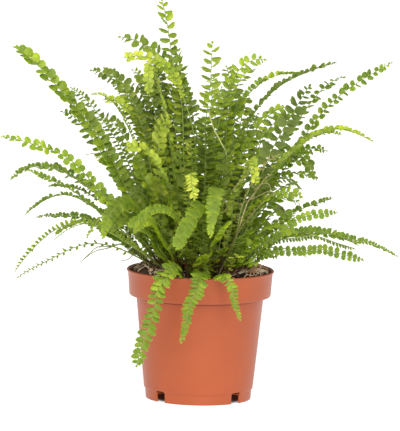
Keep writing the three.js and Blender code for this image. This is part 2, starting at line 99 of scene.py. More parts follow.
# Every frond: its stem's name, the places of its tip and of the middle of its arch, the half
# width of its blade, how far its face is rolled round the stem in degrees, its colour, the young
# share of its blade, and how its leaflets are set.
FRONDS = [
    ("left_1", (-151, -25, 283), (-90, -15, 219), 8, -62, "green", 0.2, "stacked"),
    ("left_1", (-114, 10, 229), (-80, 6, 196), 6, -60, "green", 0, "tilted"),
    ("left_2", (-108, 45, 245), (-69, 25, 201), 4.8, -58, "dark", 0, "strung"),
    ("left_3", (-159, -60, 215), (-91, -35, 182), 6.2, -66, "light", 0.3, "buttons"),
    ("left_4", (-157, 55, 167), (-103, 35, 173), 4, -15, "green", 0, "clumped"),
    ("left_5", (-141, 10, 181), (-88, 8, 152), 3.8, -14, "green", 0.08, "clumped"),
    ("left_6", (-120, 72, 120), (-82, 42, 133), 4.4, -10, "green", 0, "clumped"),
    ("left_6", (-96, 66, 102), (-67, 42, 117), 3, -10, "dark", 0, "narrow"),
    ("left_7", (-137, 108, 172), (-90, 72, 160), 6, -15, "dark", 0, "tilted"),
    ("left_8", (-141, -35, 150), (-91, -22, 160), 3.8, -12, "green", 0.05, "clumped"),
    ("left_9", (-132, -5, 145), (-82, -5, 139), 5.6, -50, "dark", 0, "tailed"),
    ("left_10", (-146, -80, 111), (-92, -54, 145), 4.2, -35, "green", 0, "comb"),
    ("left_11", (-145, -49, 102), (-79, -24, 125), 5.6, -26, "green", 0, "narrow"),
    ("left_12", (-88, 80, 185), (-55, 45, 162), 5, -20, "lime", 0.4, "flat"),
    ("left_13", (-71, -60, 141), (-49, -43, 147), 6.6, -64, "green", 0, "ladder"),
    ("left_13", (-58, -42, 166), (-42, -32, 160), 5.8, -70, "dark", 0, "ladder"),
    ("left_13", (-77, -95, 141), (-54, -50, 163), 6.8, -52, "green", 0.1, "ladder"),
    ("left_14", (-57, -104, 151), (-21, -59, 156), 4.3, -66, "light", 0, "blunt"),
    ("upper_1", (-60, -75, 209), (-32, -52, 188), 6.2, -70, "lime", 0.3, "stacked"),
    ("upper_1", (-54, -55, 203), (-40, -40, 168), 7, -80, "green", 0, "tilted"),
    ("upper_2", (-28, -45, 231), (-35, -28, 191), 7.4, 10, "lime", 0.3, "stacked"),
    ("upper_3", (-64, 4, 274), (-14, -11, 239), 5.2, -50, "lime", 0.1, "stacked"),
    ("upper_4", (-43, -47, 249), (-37, -30, 256), 4.8, -48, "lime", 0.4, "stacked"),
    ("upper_5", (-69, 58, 286), (-13, 42, 236), 7.4, -50, "green", 0, "tilted"),
    ("upper_6", (-92, 60, 258), (-41, 30, 217), 7.2, -45, "dark", 0, "tilted"),
    ("upper_6", (-82, 95, 257), (-43, 60, 202), 7.2, -40, "dark", 0, "tilted"),
    ("upper_7", (-80, 14, 239), (-45, 4, 207), 5.5, -40, "lime", 0, "stacked"),
    ("upper_7", (-70, -18, 226), (-50, -14, 185), 7, -60, "dark", 0, "airy"),
    ("upper_7", (-58, 0, 242), (-44, 0, 200), 7, -60, "dark", 0, "airy"),
    ("top_1", (-35, 10, 320), (-19, 5, 235), 8.8, -60, "green", 0.1, "airy"),
    ("top_1", (-37, 25, 262), (-26, 14, 205), 8, -65, "dark", 0, "airy"),
    ("top_2", (6, -20, 289), (3, -14, 210), 8.8, -20, "light", 0.2, "airy"),
    ("top_2", (2, -28, 229), (1, -17, 185), 8, 0, "dark", 0, "plates"),
    ("top_3", (48, 0, 275), (15, -2, 235), 8.2, 45, "light", 0.2, "strung"),
    ("top_3", (67, 2, 237), (32, 0, 199), 8, 45, "light", 0.1, "strung"),
    ("top_4", (41, 75, 260), (17, 47, 219), 7.4, 35, "dark", 0, "tilted"),
    ("top_4", (18, 75, 262), (19, 48, 213), 7.4, 20, "green", 0, "plates"),
    ("top_5", (79, 48, 260), (21, 34, 221), 5, 30, "green", 0.2, "clumped"),
    ("top_6", (104, -50, 278), (29, -28, 218), 5, 25, "dark", 0, "clumped"),
    ("right_1", (149, -20, 276), (75, -12, 210), 5.4, 58, "green", 0.05, "buttons"),
    ("right_2", (115, 60, 257), (72, 35, 215), 5.5, 40, "dark", 0, "buttons"),
    ("right_2", (93, 55, 173), (60, 36, 190), 7, 45, "green", 0, "tilted"),
    ("right_3", (135, -45, 215), (72, -30, 206), 5, 15, "light", 0.26, "clumped"),
    ("right_4", (83, -60, 260), (54, -45, 202), 9, -60, "dark", 0, "flat"),
    ("right_5", (111, 6, 215), (66, 3, 193), 4.8, 20, "green", 0, "clumped"),
    ("right_5", (100, 12, 201), (63, 7, 183), 5.2, 25, "green", 0, "tilted"),
    ("right_6", (106, 20, 162), (60, 10, 138), 4.2, 25, "dark", 0, "clumped"),
    ("right_7", (107, -60, 160), (63, -40, 142), 4.2, 85, "light", 0, "paired"),
    ("right_8", (157, -20, 121), (75, -12, 137), 5.8, 42, "green", 0, "tailing"),
    ("right_8", (121, -79, 134), (63, -35, 134), 3.6, 35, "dark", 0, "hanging"),
    ("right_9", (128, -75, 124), (66, -40, 126), 4.6, 81, "green", 0, "paired"),
    ("right_10", (128, 50, 120), (76, 30, 129), 6, 40, "dark", 0, "comb"),
    ("right_11", (88, 75, 105), (61, 45, 114), 1.8, 15, "dark", 0, "narrow"),
    ("right_12", (81, 90, 161), (49, 50, 164), 7.2, 30, "green", 0, "tilted"),
    ("right_13", (42, -75, 183), (34, -50, 191), 4.6, 10, "lime", 0.26, "stacked"),
    ("right_13", (18, -55, 207), (15, -35, 170), 7.5, 0, "green", 0, "plates"),
    ("front_1", (-19, -122, 137), (1, -65, 163), 6.7, -32, "light", 0, "blunt"),
    ("front_2", (7, -115, 146), (11, -65, 177), 6.8, -5, "light", 0.1, "ladder"),
    ("front_3", (-6, -105, 174), (-10, -62, 184), 6, 10, "lime", 0.45, "strung"),
    ("front_3", (-18, -60, 207), (-14, -40, 172), 7.4, 0, "green", 0, "tilted"),
    ("front_4", (32, -62, 124), (25, -47, 117), 5, 0, "lime", 0.3, "flat"),
    ("rim_1", (-49, -76, 37), (-26, -70, 111), 7.1, -40, "light", 0, "draped"),
    ("rim_2", (-14, -84, 58), (-1, -74, 106), 7.5, -20, "light", 0.06, "pointed"),
    ("rim_3", (32, -80, 76), (19, -72, 108), 6.1, 26, "light", 0.06, "pointed"),
    ("heart_1", (-17, 60, 248), (-12, 36, 199), 7.5, 0, "dark", 0, "plates"),
    ("heart_2", (37, 48, 239), (27, 33, 203), 7.5, 50, "green", 0, "plates"),
    ("heart_2", (54, 56, 213), (36, 39, 176), 7.5, 45, "green", 0, "tilted"),
    ("right_14", (79, -60, 172), (50, -46, 163), 5.6, 30, "green", 0, "buttons"),
    ("right_14", (75, -70, 144), (48, -54, 142), 7.2, 30, "green", 0, "tilted"),
    ("back_1", (60, 100, 225), (30, 55, 190), 7.5, 0, "green", 0, "tilted"),
    ("back_2", (20, 118, 190), (10, 70, 185), 7.5, 0, "green", 0.1, "ladder"),
    ("back_2", (-20, 122, 125), (-10, 80, 150), 7.5, 0, "green", 0, "ladder"),
    ("back_3", (-30, 110, 225), (-14, 58, 200), 7.5, 0, "dark", 0, "plates"),
    ("back_4", (-70, 112, 160), (-38, 68, 165), 7.5, 0, "green", 0.1, "ladder"),
    ("back_5", (75, 112, 130), (42, 68, 150), 7.5, 0, "dark", 0, "ladder"),
    ("back_6", (6, 102, 250), (4, 62, 205), 7.5, 0, "light", 0.2, "plates"),
]

# Smaller fronds among the others, in the same terms. The first word names their piece.
SMALL_FRONDS = [
    ("left", (-126, 60, 162), (-75, 38, 150), 4, -10, "dark", 0, "clumped"),
    ("left", (-117, -40, 131), (-75, -25, 142), 3.2, -10, "green", 0, "narrow"),
    ("left", (-92, -30, 131), (-62, -22, 150), 3.6, -30, "green", 0.2, "buttons"),
    ("left", (-53, -80, 143), (-35, -55, 146), 5.2, -55, "light", 0, "ladder"),
    ("left", (-91, 10, 243), (-58, 12, 212), 2.8, -40, "light", 0.2, "clumped"),
    ("left", (-94, -5, 196), (-60, -4, 176), 2.6, -40, "lime", 0.2, "narrow"),
    ("left", (-98, 40, 103), (-60, 28, 119), 2.2, -10, "green", 0, "narrow"),
    ("upper", (-58, 40, 261), (-40, 30, 220), 6.6, -50, "green", 0, "tilted"),
    ("upper", (-52, 20, 254), (-36, 16, 214), 7, -50, "dark", 0, "plates"),
    ("upper", (-75, 70, 247), (-48, 45, 208), 7, -50, "green", 0, "tilted"),
    ("upper", (-66, 40, 229), (-44, 28, 194), 7, -50, "green", 0, "plates"),
    ("upper", (-84, 60, 221), (-54, 40, 186), 7, -50, "green", 0, "tilted"),
    ("upper", (-20, 30, 232), (-16, 20, 196), 7.5, -20, "green", 0, "plates"),
    ("upper", (-46, 48, 274), (-32, 34, 226), 7, -40, "green", 0.1, "plates"),
    ("upper", (-38, 5, 224), (-28, 2, 186), 7.5, -40, "green", 0.1, "plates"),
    ("upper", (-48, 30, 281), (-30, 20, 232), 5.6, -30, "light", 0, "plates"),
    ("upper", (-66, 20, 250), (-48, 16, 206), 7, -55, "green", 0, "plates"),
    ("upper", (-40, 40, 262), (-30, 30, 216), 7.5, -45, "green", 0, "tilted"),
    ("upper", (-28, 10, 252), (-20, 8, 208), 7, -40, "light", 0, "plates"),
    ("upper", (-10, -35, 211), (-7, -22, 170), 6, 0, "lime", 0.1, "plates"),
    ("top", (-24, 20, 282), (-14, 14, 222), 7.5, -55, "green", 0.1, "plates"),
    ("top", (14, 16, 250), (8, 10, 204), 7, 15, "light", 0.1, "plates"),
    ("top", (24, 10, 258), (18, 8, 214), 6.5, 20, "light", 0.1, "strung"),
    ("top", (44, 30, 228), (28, 20, 190), 7, 45, "green", 0, "tilted"),
    ("top", (24, -30, 204), (16, -20, 166), 6, 20, "lime", 0.15, "strung"),
    ("right", (75, -5, 233), (42, -5, 200), 6, 40, "green", 0.06, "buttons"),
    ("right", (87, 0, 181), (54, 0, 170), 5.6, 35, "green", 0, "tilted"),
    ("right", (88, 5, 188), (54, 5, 180), 5.6, 35, "green", 0, "tilted"),
    ("right", (79, 25, 156), (50, 18, 152), 6, 35, "light", 0, "tilted"),
    ("right", (74, -30, 152), (46, -24, 146), 6.5, 35, "light", 0, "tilted"),
    ("right", (60, -48, 121), (40, -38, 122), 4.5, 30, "dark", 0, "flat"),
    ("right", (30, 20, 246), (22, 12, 206), 7.5, 20, "light", 0, "plates"),
    ("front", (-35, -80, 94), (-22, -66, 111), 6.4, -36, "light", 0, "draped"),
    ("front", (-10, -50, 127), (-7, -38, 119), 6, 0, "green", 0, "ladder"),
    ("front", (6, -60, 110), (4, -46, 112), 5.5, 0, "dark", 0, "tilted"),
    ("front", (20, -50, 129), (14, -38, 121), 6, 10, "green", 0, "plates"),
    ("front", (44, -50, 115), (30, -38, 115), 5.5, 25, "green", 0, "flat"),
    ("dead", (62, -60, 206), (38, -56, 176), 3.4, 30, "dry", 0, "curled"),
    ("dead", (50, -58, 168), (32, -46, 142), 3, 0, "dry", 0, "curled"),
    ("dead", (-62, -28, 136), (-38, -20, 122), 2, 0, "dry", 0, "curled"),
]

# How leaflets are set on the rib: how far their faces turn up to the light, how far the two rows
# fold up from the blade in degrees, how widely they are spaced, how much they differ, how wide
# they are for their length, up to what share of the blade they have their full size, and how far
# the second row lags behind the first, as a share of the spacing.
Setting = namedtuple("Setting", "light_turn fold spacing disorder width full_to lag")
SETTINGS = {
    "flat": Setting(0.15, 8, 0.9, 1.3, 0.84, 0.85, 0.5),
    "stacked": Setting(0.25, 18, 0.78, 1.4, 0.97, 0.95, 0.5),
    "buttons": Setting(0.2, 14, 1.05, 1.9, 0.9, 0.88, 0.5),
    "clumped": Setting(0.2, 34, 0.74, 1.7, 0.86, 0.9, 0.5),
    "tailed": Setting(0.25, 16, 0.72, 1.3, 0.9, 0.4, 0.5),
    "tailing": Setting(0.1, 24, 0.7, 1.2, 0.78, 0.4, 0.4),
    "tilted": Setting(0.42, 5, 0.82, 1.7, 0.82, 0.9, 0.5),
    "plates": Setting(0.52, 0, 0.76, 1.4, 0.8, 0.94, 0.5),
    "strung": Setting(0.42, -10, 0.74, 1.2, 0.6, 0.92, 0.5),
    "draped": Setting(0.3, -6, 0.76, 0.9, 0.64, 0.92, 0.5),
    "ladder": Setting(0.22, -7, 0.46, 0.7, 0.7, 0.72, 0.5),
    "blunt": Setting(0.22, -7, 0.42, 0.6, 0.66, 0.92, 0.5),
    "pointed": Setting(0.28, -8, 0.56, 0.8, 0.6, 0.3, 0.5),
    "comb": Setting(0.1, 60, 0.85, 1.0, 0.56, 0.85, 0.15),
    "hanging": Setting(0.1, -58, 0.8, 0.9, 0.56, 0.9, 0.14),
    "paired": Setting(0.05, 0, 1.08, 0.8, 0.95, 0.86, 0.1),
    "airy": Setting(0.46, 0, 0.84, 1.3, 0.64, 0.94, 0.5),
    "narrow": Setting(0.1, 4, 1.25, 1.2, 0.42, 0.4, 0.5),
    "curled": Setting(0.2, 30, 1.1, 3.0, 0.5, 0.9, 0.5),
}

# The bare share of a frond's length, where its bare foot isn't as long as the others'.
BARE_SHARES = {"upper_3": 0.7, "dead": 0.35, "front": 0.14, "rim_1": 0.12, "rim_2": 0.12}

# How much lighter or darker than its colour a frond is, and the stems where that isn't left to
# chance.
TONE_RANGE = (-0.6, 0.6)
TONES = {
    "rim_1": -1,
    "rim_2": -0.95,
    "rim_3": -0.5,
    "front_1": -0.65,
    "front_2": -0.7,
    "left_1": -0.35,
    "left_3": -0.45,
    "left_4": -0.4,
    "left_5": -0.3,
    "left_8": -0.5,
    "left_13": -0.4,
    "left_14": -0.55,
    "right_1": -0.4,
    "right_7": -0.8,
    "right_8": -0.55,
    "right_9": -0.6,
    "right_13": -0.3,
}

# The rib: its rings, how it tapers, how deep in the soil it starts, from where to where the
# brown of its foot fades, and the share of its length where it turns young.
RIB_STEPS = 24
RIB_SIDES = 6
RIB_FOOT_RADIUS = 0.75
RIB_TIP_RADIUS = 0.28
RIB_TAPER = 0.8
ROOT_DEPTH = 3
BROWN_START = 6
BROWN_END = 45
RIB_YOUNG_FROM = 0.5

# The blade: by what share of its length it has its roll, how far it wanders off its arch, how far
# it twists, and the disorder at which it doesn't.
ROLL_SHARE = 0.35
WANDER = 1.5
WANDER_PACES = (1, 3)
WANDER_STARTS = (0, 6)
TWIST = math.radians(28)
TWIST_WAVES = 1.5
STEADY_DISORDER = 0.6

# The size of the leaflets along the blade, above its bare foot: they grow to the full size and
# lose most of it towards the tip.
BARE_LENGTH = 18
FIRST_LEAFLET = 0.5
FULL_FROM = 0.22
TIP_LOSS = 0.72
TIP_CURVE = 1.6

# How leaflets stand on the rib: how deep, how far apart for their size, how far they sweep
# forward at the foot of the blade and at its tip, and how far each row is tilted.
LEAFLET_INSET = 0.15
LEAFLET_SPACING = 7.2
TYPICAL_LEAFLET = 8
SPACING_POWER = 0.75
FORWARD_SWEEP = math.radians(9)
TIP_SWEEP = math.radians(30)
LEAFLET_TILT = math.radians(11)

# How far from the tip the last leaflet of the rows is at least, and the one that ends the frond.
LAST_LEAFLET = 1.6
END_LEAFLET = 1.1
END_LEAFLET_WIDTH = 0.8
END_LEAFLET_INSET = 0.5

# How much the leaflets differ: in size, width, spacing, youth and tone, and at a disorder of 1 in
# their fold in degrees, and in their sweep and tilt in radians.
SIZE_RANGE = (0.88, 1.12)
WIDTH_RANGE = (0.92, 1.08)
GAP_RANGE = (0.85, 1.15)
YOUTH_SPREAD = 0.05
TONE_SPREAD = 0.5
FOLD_SPREAD = 8
SWEEP_SPREAD = 0.12
TILT_SPREAD = 0.2

# Where the young part of a blade starts and is all young, measured back from the tip in terms of
# its young share.
YOUNG_START = 1.6
YOUNG_FULL = 0.3


def linear(red, green, blue):
    """The linear colour of an sRGB colour given in 0 to 255."""
    def channel(value):
        value /= 255
        return value / 12.92 if value <= 0.04045 else ((value + 0.055) / 1.055) ** 2.4

    return (channel(red), channel(green), channel(blue), 1)


def smoothstep(value, low, high):
    share = min(1, max(0, (value - low) / (high - low)))
    return share * share * (3 - 2 * share)


def mix(a, b, share):
    return a + (b - a) * share


# Shader building


def add_node(tree, kind, inputs=None, **settings):
    """A shader node with its settings, and its inputs linked to sockets or set to values."""
    made = tree.nodes.new("ShaderNode" + kind)
    for name, value in settings.items():
        setattr(made, name, value)
    for name, value in (inputs or {}).items():
        if isinstance(value, bpy.types.NodeSocket):
            tree.links.new(value, made.inputs[name])
        else:
            made.inputs[name].default_value = value
    return made


def maths_of(tree, operation, a, b=0.0, c=0.0):
    return add_node(tree, "Math", {0: a, 1: b, 2: c}, operation=operation).outputs[0]


def blend_of(tree, share, a, b, kind="MIX"):
    made = add_node(
        tree, "Mix", {0: share, 6: a, 7: b}, data_type="RGBA", blend_type=kind
    )
    return made.outputs[2]


def ramp_of(tree, value, low, high, to_low=0.0, to_high=1.0):
    inputs = {0: value, 1: low, 2: high, 3: to_low, 4: to_high}
    return add_node(tree, "MapRange", inputs, interpolation_type="SMOOTHSTEP").outputs[0]


def noise_of(tree, place, scale, detail=3.0, roughness=0.55):
    inputs = {"Vector": place, "Scale": scale, "Detail": detail, "Roughness": roughness}
    return add_node(tree, "TexNoise", inputs).outputs["Fac"]


def object_place(tree):
    return add_node(tree, "TexCoord").outputs["Object"]


def new_group(name, inputs, outputs):
    """A node group with those sockets, its input node's outputs by name, and its output node."""
    tree = bpy.data.node_groups.new(name, "ShaderNodeTree")
    for label, default in inputs.items():
        kind = "NodeSocketFloat" if isinstance(default, float) else "NodeSocketColor"
        socket = tree.interface.new_socket(label, in_out="INPUT", socket_type=kind)
        socket.default_value = default
    for label, kind in outputs.items():
        tree.interface.new_socket(label, in_out="OUTPUT", socket_type="NodeSocket" + kind)
    given = tree.nodes.new("NodeGroupInput").outputs
    return tree, given, tree.nodes.new("NodeGroupOutput")


def finish_group(tree, output, results):
    for label, socket in results.items():
        tree.links.new(socket, output.inputs[label])
    return tree


# How strongly a relief shows, and its depth in metres.
Relief = namedtuple("Relief", "strength depth")


def new_material(name, group, values, relief, **surface):
    """A material whose group gives its colour, roughness and relief, on one Principled shader."""
    material = bpy.data.materials.new(name)
    material.use_nodes = True
    tree = material.node_tree
    shader = tree.nodes["Principled BSDF"]
    look = add_node(tree, "Group")
    look.node_tree = group
    for label, value in values.items():
        look.inputs[label].default_value = value
    inputs = {
        "Strength": relief.strength,
        "Distance": relief.depth,
        "Height": look.outputs["Height"],
    }
    bump = add_node(tree, "Bump", inputs)
    tree.links.new(look.outputs["Color"], shader.inputs["Base Color"])
    tree.links.new(look.outputs["Roughness"], shader.inputs["Roughness"])
    tree.links.new(bump.outputs["Normal"], shader.inputs["Normal"])
    for label, value in surface.items():
        shader.inputs[label.replace("_", " ")].default_value = value
    return material


# Leaf finish: the attribute "leaf" holds each leaflet's youth, its own tone and which face is up.
# Its side veins slant, SIDE_VEINS of them in its length, and they and the painted highlight
# round its edge are fainter than the midrib. A leaflet's tone changes its brightness and its hue.

VEIN_SLANT = 0.9
SIDE_VEINS = 7.0
SIDE_VEIN_STRENGTH = 0.55
RIM_HIGHLIGHT_STRENGTH = 0.7
TONE_BRIGHTNESS = 0.3
TONE_HUE = -0.012


def leaflet_lines_and_highlight(tree, along, across):
    """The pale lines of a leaflet, its midrib and side veins, and a painted highlight round its
    edge.
    """
    off_middle = maths_of(tree, "ABSOLUTE", across)
    midrib = ramp_of(tree, off_middle, 0.015, 0.06, 1, 0)
    slanted = maths_of(tree, "MULTIPLY_ADD", off_middle, -VEIN_SLANT, along)
    along_veins = maths_of(tree, "MULTIPLY", slanted, SIDE_VEINS)
    off_vein = maths_of(tree, "PINGPONG", along_veins, 0.5)
    veins = ramp_of(tree, off_vein, 0.0, 0.16, SIDE_VEIN_STRENGTH, 0)
    from_middle = maths_of(tree, "MULTIPLY_ADD", along, 2.0, -1.0)
    squared = maths_of(tree, "MULTIPLY", from_middle, from_middle)
    wide = maths_of(tree, "MULTIPLY", off_middle, 1.8)
    from_centre = maths_of(tree, "MULTIPLY_ADD", wide, wide, squared)
    # A painted highlight that grows paler towards the leaflet's edge all round.
    rim_highlight = ramp_of(tree, from_centre, 0.6, 0.95, 0.0, RIM_HIGHLIGHT_STRENGTH)
    return maths_of(tree, "MAXIMUM", maths_of(tree, "MAXIMUM", midrib, veins), rim_highlight)


def leaf_group():
    inputs = {
        "Mature": linear(90, 135, 40),
        "Young": linear(190, 215, 60),
        "Underside": linear(120, 150, 90),
        "Vein": 0.35,
    }
    outputs = {"Color": "Color", "Roughness": "Float", "Height": "Float"}
    tree, given, output = new_group("leaf surface", inputs, outputs)
    facts = add_node(tree, "Attribute", attribute_name="leaf").outputs["Vector"]
    youth, tone, under = add_node(tree, "SeparateXYZ", {0: facts}).outputs
    place = add_node(tree, "UVMap", uv_map="leaflet").outputs[0]
    along, across, _ = add_node(tree, "SeparateXYZ", {0: place}).outputs
    lines = leaflet_lines_and_highlight(tree, along, across)
    blotches = noise_of(tree, object_place(tree), 260.0)

    # The colour: by youth, tone and blotches, then paler on the lines, the painted edge highlight
    # and the underside.
    colour = blend_of(tree, youth, given["Mature"], given["Young"])
    brightness = maths_of(tree, "MULTIPLY_ADD", tone, TONE_BRIGHTNESS, 1.0)
    mottled = ramp_of(tree, blotches, 0.3, 0.7, 0.9, 1.1)
    brightness = maths_of(tree, "MULTIPLY", brightness, mottled)
    hue = maths_of(tree, "MULTIPLY_ADD", tone, TONE_HUE, 0.5)
    colour = add_node(
        tree, "HueSaturation", {"Hue": hue, "Value": brightness, "Color": colour}
    ).outputs[0]
    paler = blend_of(tree, 0.35, colour, given["Young"])
    colour = blend_of(tree, maths_of(tree, "MULTIPLY", lines, given["Vein"]), colour, paler)
    colour = blend_of(
        tree, maths_of(tree, "MULTIPLY", under, 0.6), colour, given["Underside"]
    )
    roughness = maths_of(
        tree, "MULTIPLY_ADD", under, 0.25, ramp_of(tree, blotches, 0.2, 0.8, 0.33, 0.46)
    )
    height = maths_of(tree, "MULTIPLY_ADD", blotches, 0.4, maths_of(tree, "SUBTRACT", 1.0, lines))
    results = {"Color": colour, "Roughness": roughness, "Height": height}
    return finish_group(tree, output, results)


def stalk_group():
    """Ribs and stalks: green above, brown and scaly at the foot, which the attribute gives."""
    inputs = {"Green": linear(134, 154, 68), "Brown": linear(96, 70, 42)}
    outputs = {"Color": "Color", "Roughness": "Float", "Height": "Float"}
    tree, given, output = new_group("stalk surface", inputs, outputs)
    facts = add_node(tree, "Attribute", attribute_name="leaf").outputs["Vector"]
    youth, tone, brown = add_node(tree, "SeparateXYZ", {0: facts}).outputs
    place = object_place(tree)
    young_green = linear(196, 210, 90)
    stretched = add_node(tree, "Mapping", {"Vector": place, "Scale": (1, 1, 0.25)}).outputs[0]
    streaks = noise_of(tree, stretched, 900.0)
    patchy = maths_of(tree, "ADD", brown, ramp_of(tree, streaks, 0.35, 0.65, -0.25, 0.25))
    colour = blend_of(
        tree, maths_of(tree, "MULTIPLY", youth, 0.6), given["Green"], young_green
    )
    colour = blend_of(tree, ramp_of(tree, patchy, 0.2, 0.7), colour, given["Brown"])
    brightness = maths_of(tree, "MULTIPLY_ADD", tone, 0.2, 1.0)
    colour = add_node(tree, "HueSaturation", {"Value": brightness, "Color": colour}).outputs[0]
    roughness = maths_of(tree, "MULTIPLY_ADD", brown, 0.3, 0.48)
    results = {"Color": colour, "Roughness": roughness, "Height": streaks}
    return finish_group(tree, output, results)


def plastic_group():
    """Moulded plastic: faint mottling, lines drawn round it, dusty scuffs, painted shade under the
    collar.
    """
    inputs = {
        "Plastic": linear(174, 85, 47),
        "Dust": linear(172, 108, 76),
        "Painted Shade": linear(112, 40, 20),
    }
    outputs = {"Color": "Color", "Roughness": "Float", "Height": "Float"}
    tree, given, output = new_group("moulded plastic", inputs, outputs)
    place = object_place(tree)
    clouds = noise_of(tree, place, 22.0)
    specks = noise_of(tree, place, 900.0, 2.0)
    rings = add_node(tree, "Mapping", {"Vector": place, "Scale": (0.02, 0.02, 1)}).outputs[0]
    lines = noise_of(tree, rings, 1400.0, 2.0)
    scuffs = add_node(tree, "Mapping", {"Vector": place, "Scale": (1, 1, 6)}).outputs[0]
    scuffs = ramp_of(tree, noise_of(tree, scuffs, 90.0, 5.0, 0.7), 0.62, 0.75)
    brightness = ramp_of(tree, clouds, 0.3, 0.7, 0.96, 1.04)
    colour = add_node(
        tree, "HueSaturation", {"Value": brightness, "Color": given["Plastic"]}
    ).outputs[0]
    colour = blend_of(tree, maths_of(tree, "MULTIPLY", scuffs, 0.18), colour, given["Dust"])
    # Painted shade: a thin dark band on the body just under the collar.
    height_up = add_node(tree, "SeparateXYZ", {0: place}).outputs["Z"]
    from_collar_shade = maths_of(tree, "ABSOLUTE", maths_of(tree, "SUBTRACT", height_up, COLLAR_SHADE_HEIGHT * MM))
    collar_shade = ramp_of(tree, from_collar_shade, 0.3 * MM, COLLAR_SHADE_REACH * MM, 0.7, 0.0)
    colour = blend_of(tree, collar_shade, colour, given["Painted Shade"])
    roughness = maths_of(
        tree, "MULTIPLY_ADD", scuffs, 0.12, ramp_of(tree, clouds, 0.25, 0.75, 0.36, 0.44)
    )
    height = maths_of(tree, "MULTIPLY_ADD", lines, 0.6, specks)
    results = {"Color": colour, "Roughness": roughness, "Height": height}
    return finish_group(tree, output, results)


def litter_group():
    """Peat, fibres and straw: two colours mixed by a fine noise, dark in the hollows."""
    inputs = {"Dark": linear(36, 22, 16), "Pale": linear(92, 60, 44), "Grain": 700.0}
    outputs = {"Color": "Color", "Roughness": "Float", "Height": "Float"}
    tree, given, output = new_group("dry litter", inputs, outputs)
    place = object_place(tree)
    coarse = noise_of(tree, place, 120.0)
    fine = noise_of(tree, place, given["Grain"], 4.0, 0.65)
    mixed = ramp_of(tree, maths_of(tree, "MULTIPLY_ADD", coarse, 0.5, fine), 0.55, 0.95)
    colour = blend_of(tree, mixed, given["Dark"], given["Pale"])
    roughness = ramp_of(tree, fine, 0.2, 0.8, 0.8, 1.0)
    results = {"Color": colour, "Roughness": roughness, "Height": fine}
    return finish_group(tree, output, results)


LEAF_SURFACE = leaf_group()
STALK_SURFACE = stalk_group()
PLASTIC_SURFACE = plastic_group()
LITTER_SURFACE = litter_group()


def leaf_material(colour, mature, young, underside):
    values = {"Mature": mature, "Young": young, "Underside": underside}
    return new_material(
        f"{colour} leaf",
        LEAF_SURFACE,
        values,
        Relief(0.5, 0.0004),
        Subsurface_Weight=0.4,
        Subsurface_Radius=(0.6, 1.0, 0.1),
        Subsurface_Scale=0.0012,
        Specular_IOR_Level=0.45,
    )


# Each leaf colour: its mature, young and under sides.
LEAF_COLOURS = {
    "dark": (linear(100, 116, 19), linear(124, 145, 26), linear(110, 126, 54)),
    "green": (linear(118, 137, 20), linear(148, 169, 30), linear(128, 145, 60)),
    "light": (linear(136, 157, 24), linear(162, 183, 38), linear(146, 162, 70)),
    "lime": (linear(148, 168, 36), linear(183, 198, 60), linear(166, 182, 66)),
    "dry": (linear(146, 126, 76), linear(190, 172, 118), linear(136, 118, 78)),
}
LEAF_MATERIALS = {name: leaf_material(name, *look) for name, look in LEAF_COLOURS.items()}
STALK_MATERIAL = new_material("stalk", STALK_SURFACE, {}, Relief(0.5, 0.0005))
PALE_STALK_MATERIAL = new_material(
    "pale stalk", STALK_SURFACE, {"Green": linear(182, 188, 124)}, Relief(0.5, 0.0005)
)
POT_MATERIAL = new_material(
    "terracotta plastic", PLASTIC_SURFACE, {}, Relief(0.12, 0.0002), Specular_IOR_Level=0.32
)


def litter_material(name, dark, pale, relief):
    values = {"Dark": linear(*dark), "Pale": linear(*pale)}
    return new_material(name, LITTER_SURFACE, values, relief)


PEAT_MATERIAL = litter_material("peat", (36, 22, 16), (92, 60, 44), Relief(1.0, 0.0015))
STRAW_MATERIAL = litter_material(
    "straw", (192, 160, 122), (248, 228, 196), Relief(0.5, 0.0006)
)
BARK_MATERIAL = litter_material(
    "bark and straw", (162, 110, 80), (240, 196, 158), Relief(0.7, 0.0008)
)
STRAND_MATERIAL = litter_material(
    "dry strand", (132, 118, 72), (196, 182, 130), Relief(0.7, 0.0008)
)
DRY_STALK_MATERIAL = litter_material(
    "dry stalk", (84, 66, 46), (150, 128, 98), Relief(0.7, 0.0008)
)


def floor_material():
    """A pale floor that glows like a light table, but not under the pot."""
    white = {"Dark": linear(180, 180, 180), "Pale": linear(188, 188, 188), "Grain": 40.0}
    material = new_material(
        "pale floor", LITTER_SURFACE, white, Relief(0.0, 0.001), Emission_Strength=FLOOR_GLOW
    )
    tree = material.node_tree
    reach = add_node(tree, "VectorMath", {0: object_place(tree)}, operation="LENGTH")
    unlit = (FOOT_RADIUS - FLOOR_GLOW_EDGE) * MM
    glow = ramp_of(tree, reach.outputs["Value"], unlit, FOOT_RADIUS * MM)
    tree.links.new(glow, tree.nodes["Principled BSDF"].inputs["Emission Color"])
    return material


FLOOR_MATERIAL = floor_material()


# Mesh building


def new_piece(name, bm, materials, replaced=()):
    """The bmesh, drawn in millimetres, as an object in the frame that rides on the part."""
    bmesh.ops.scale(bm, vec=(MM, MM, MM), verts=bm.verts)
    mesh = bpy.data.meshes.new(name)
    bm.to_mesh(mesh)
    bm.free()
    for material in materials:
        mesh.materials.append(material)
    piece = bpy.data.objects.new(name, mesh)
    bpy.context.scene.collection.objects.link(piece)
    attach(piece, "root")
    if replaced:
        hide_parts(*replaced)
    return piece


MERGE_DISTANCE = 1e-4


def outward(bm):
    bmesh.ops.recalc_face_normals(bm, faces=bm.faces)


def shade_smooth(bm, sharp_angle=math.pi):
    for face in bm.faces:
        face.smooth = True
    for edge in bm.edges:
        edge.smooth = edge.calc_face_angle(0) < sharp_angle


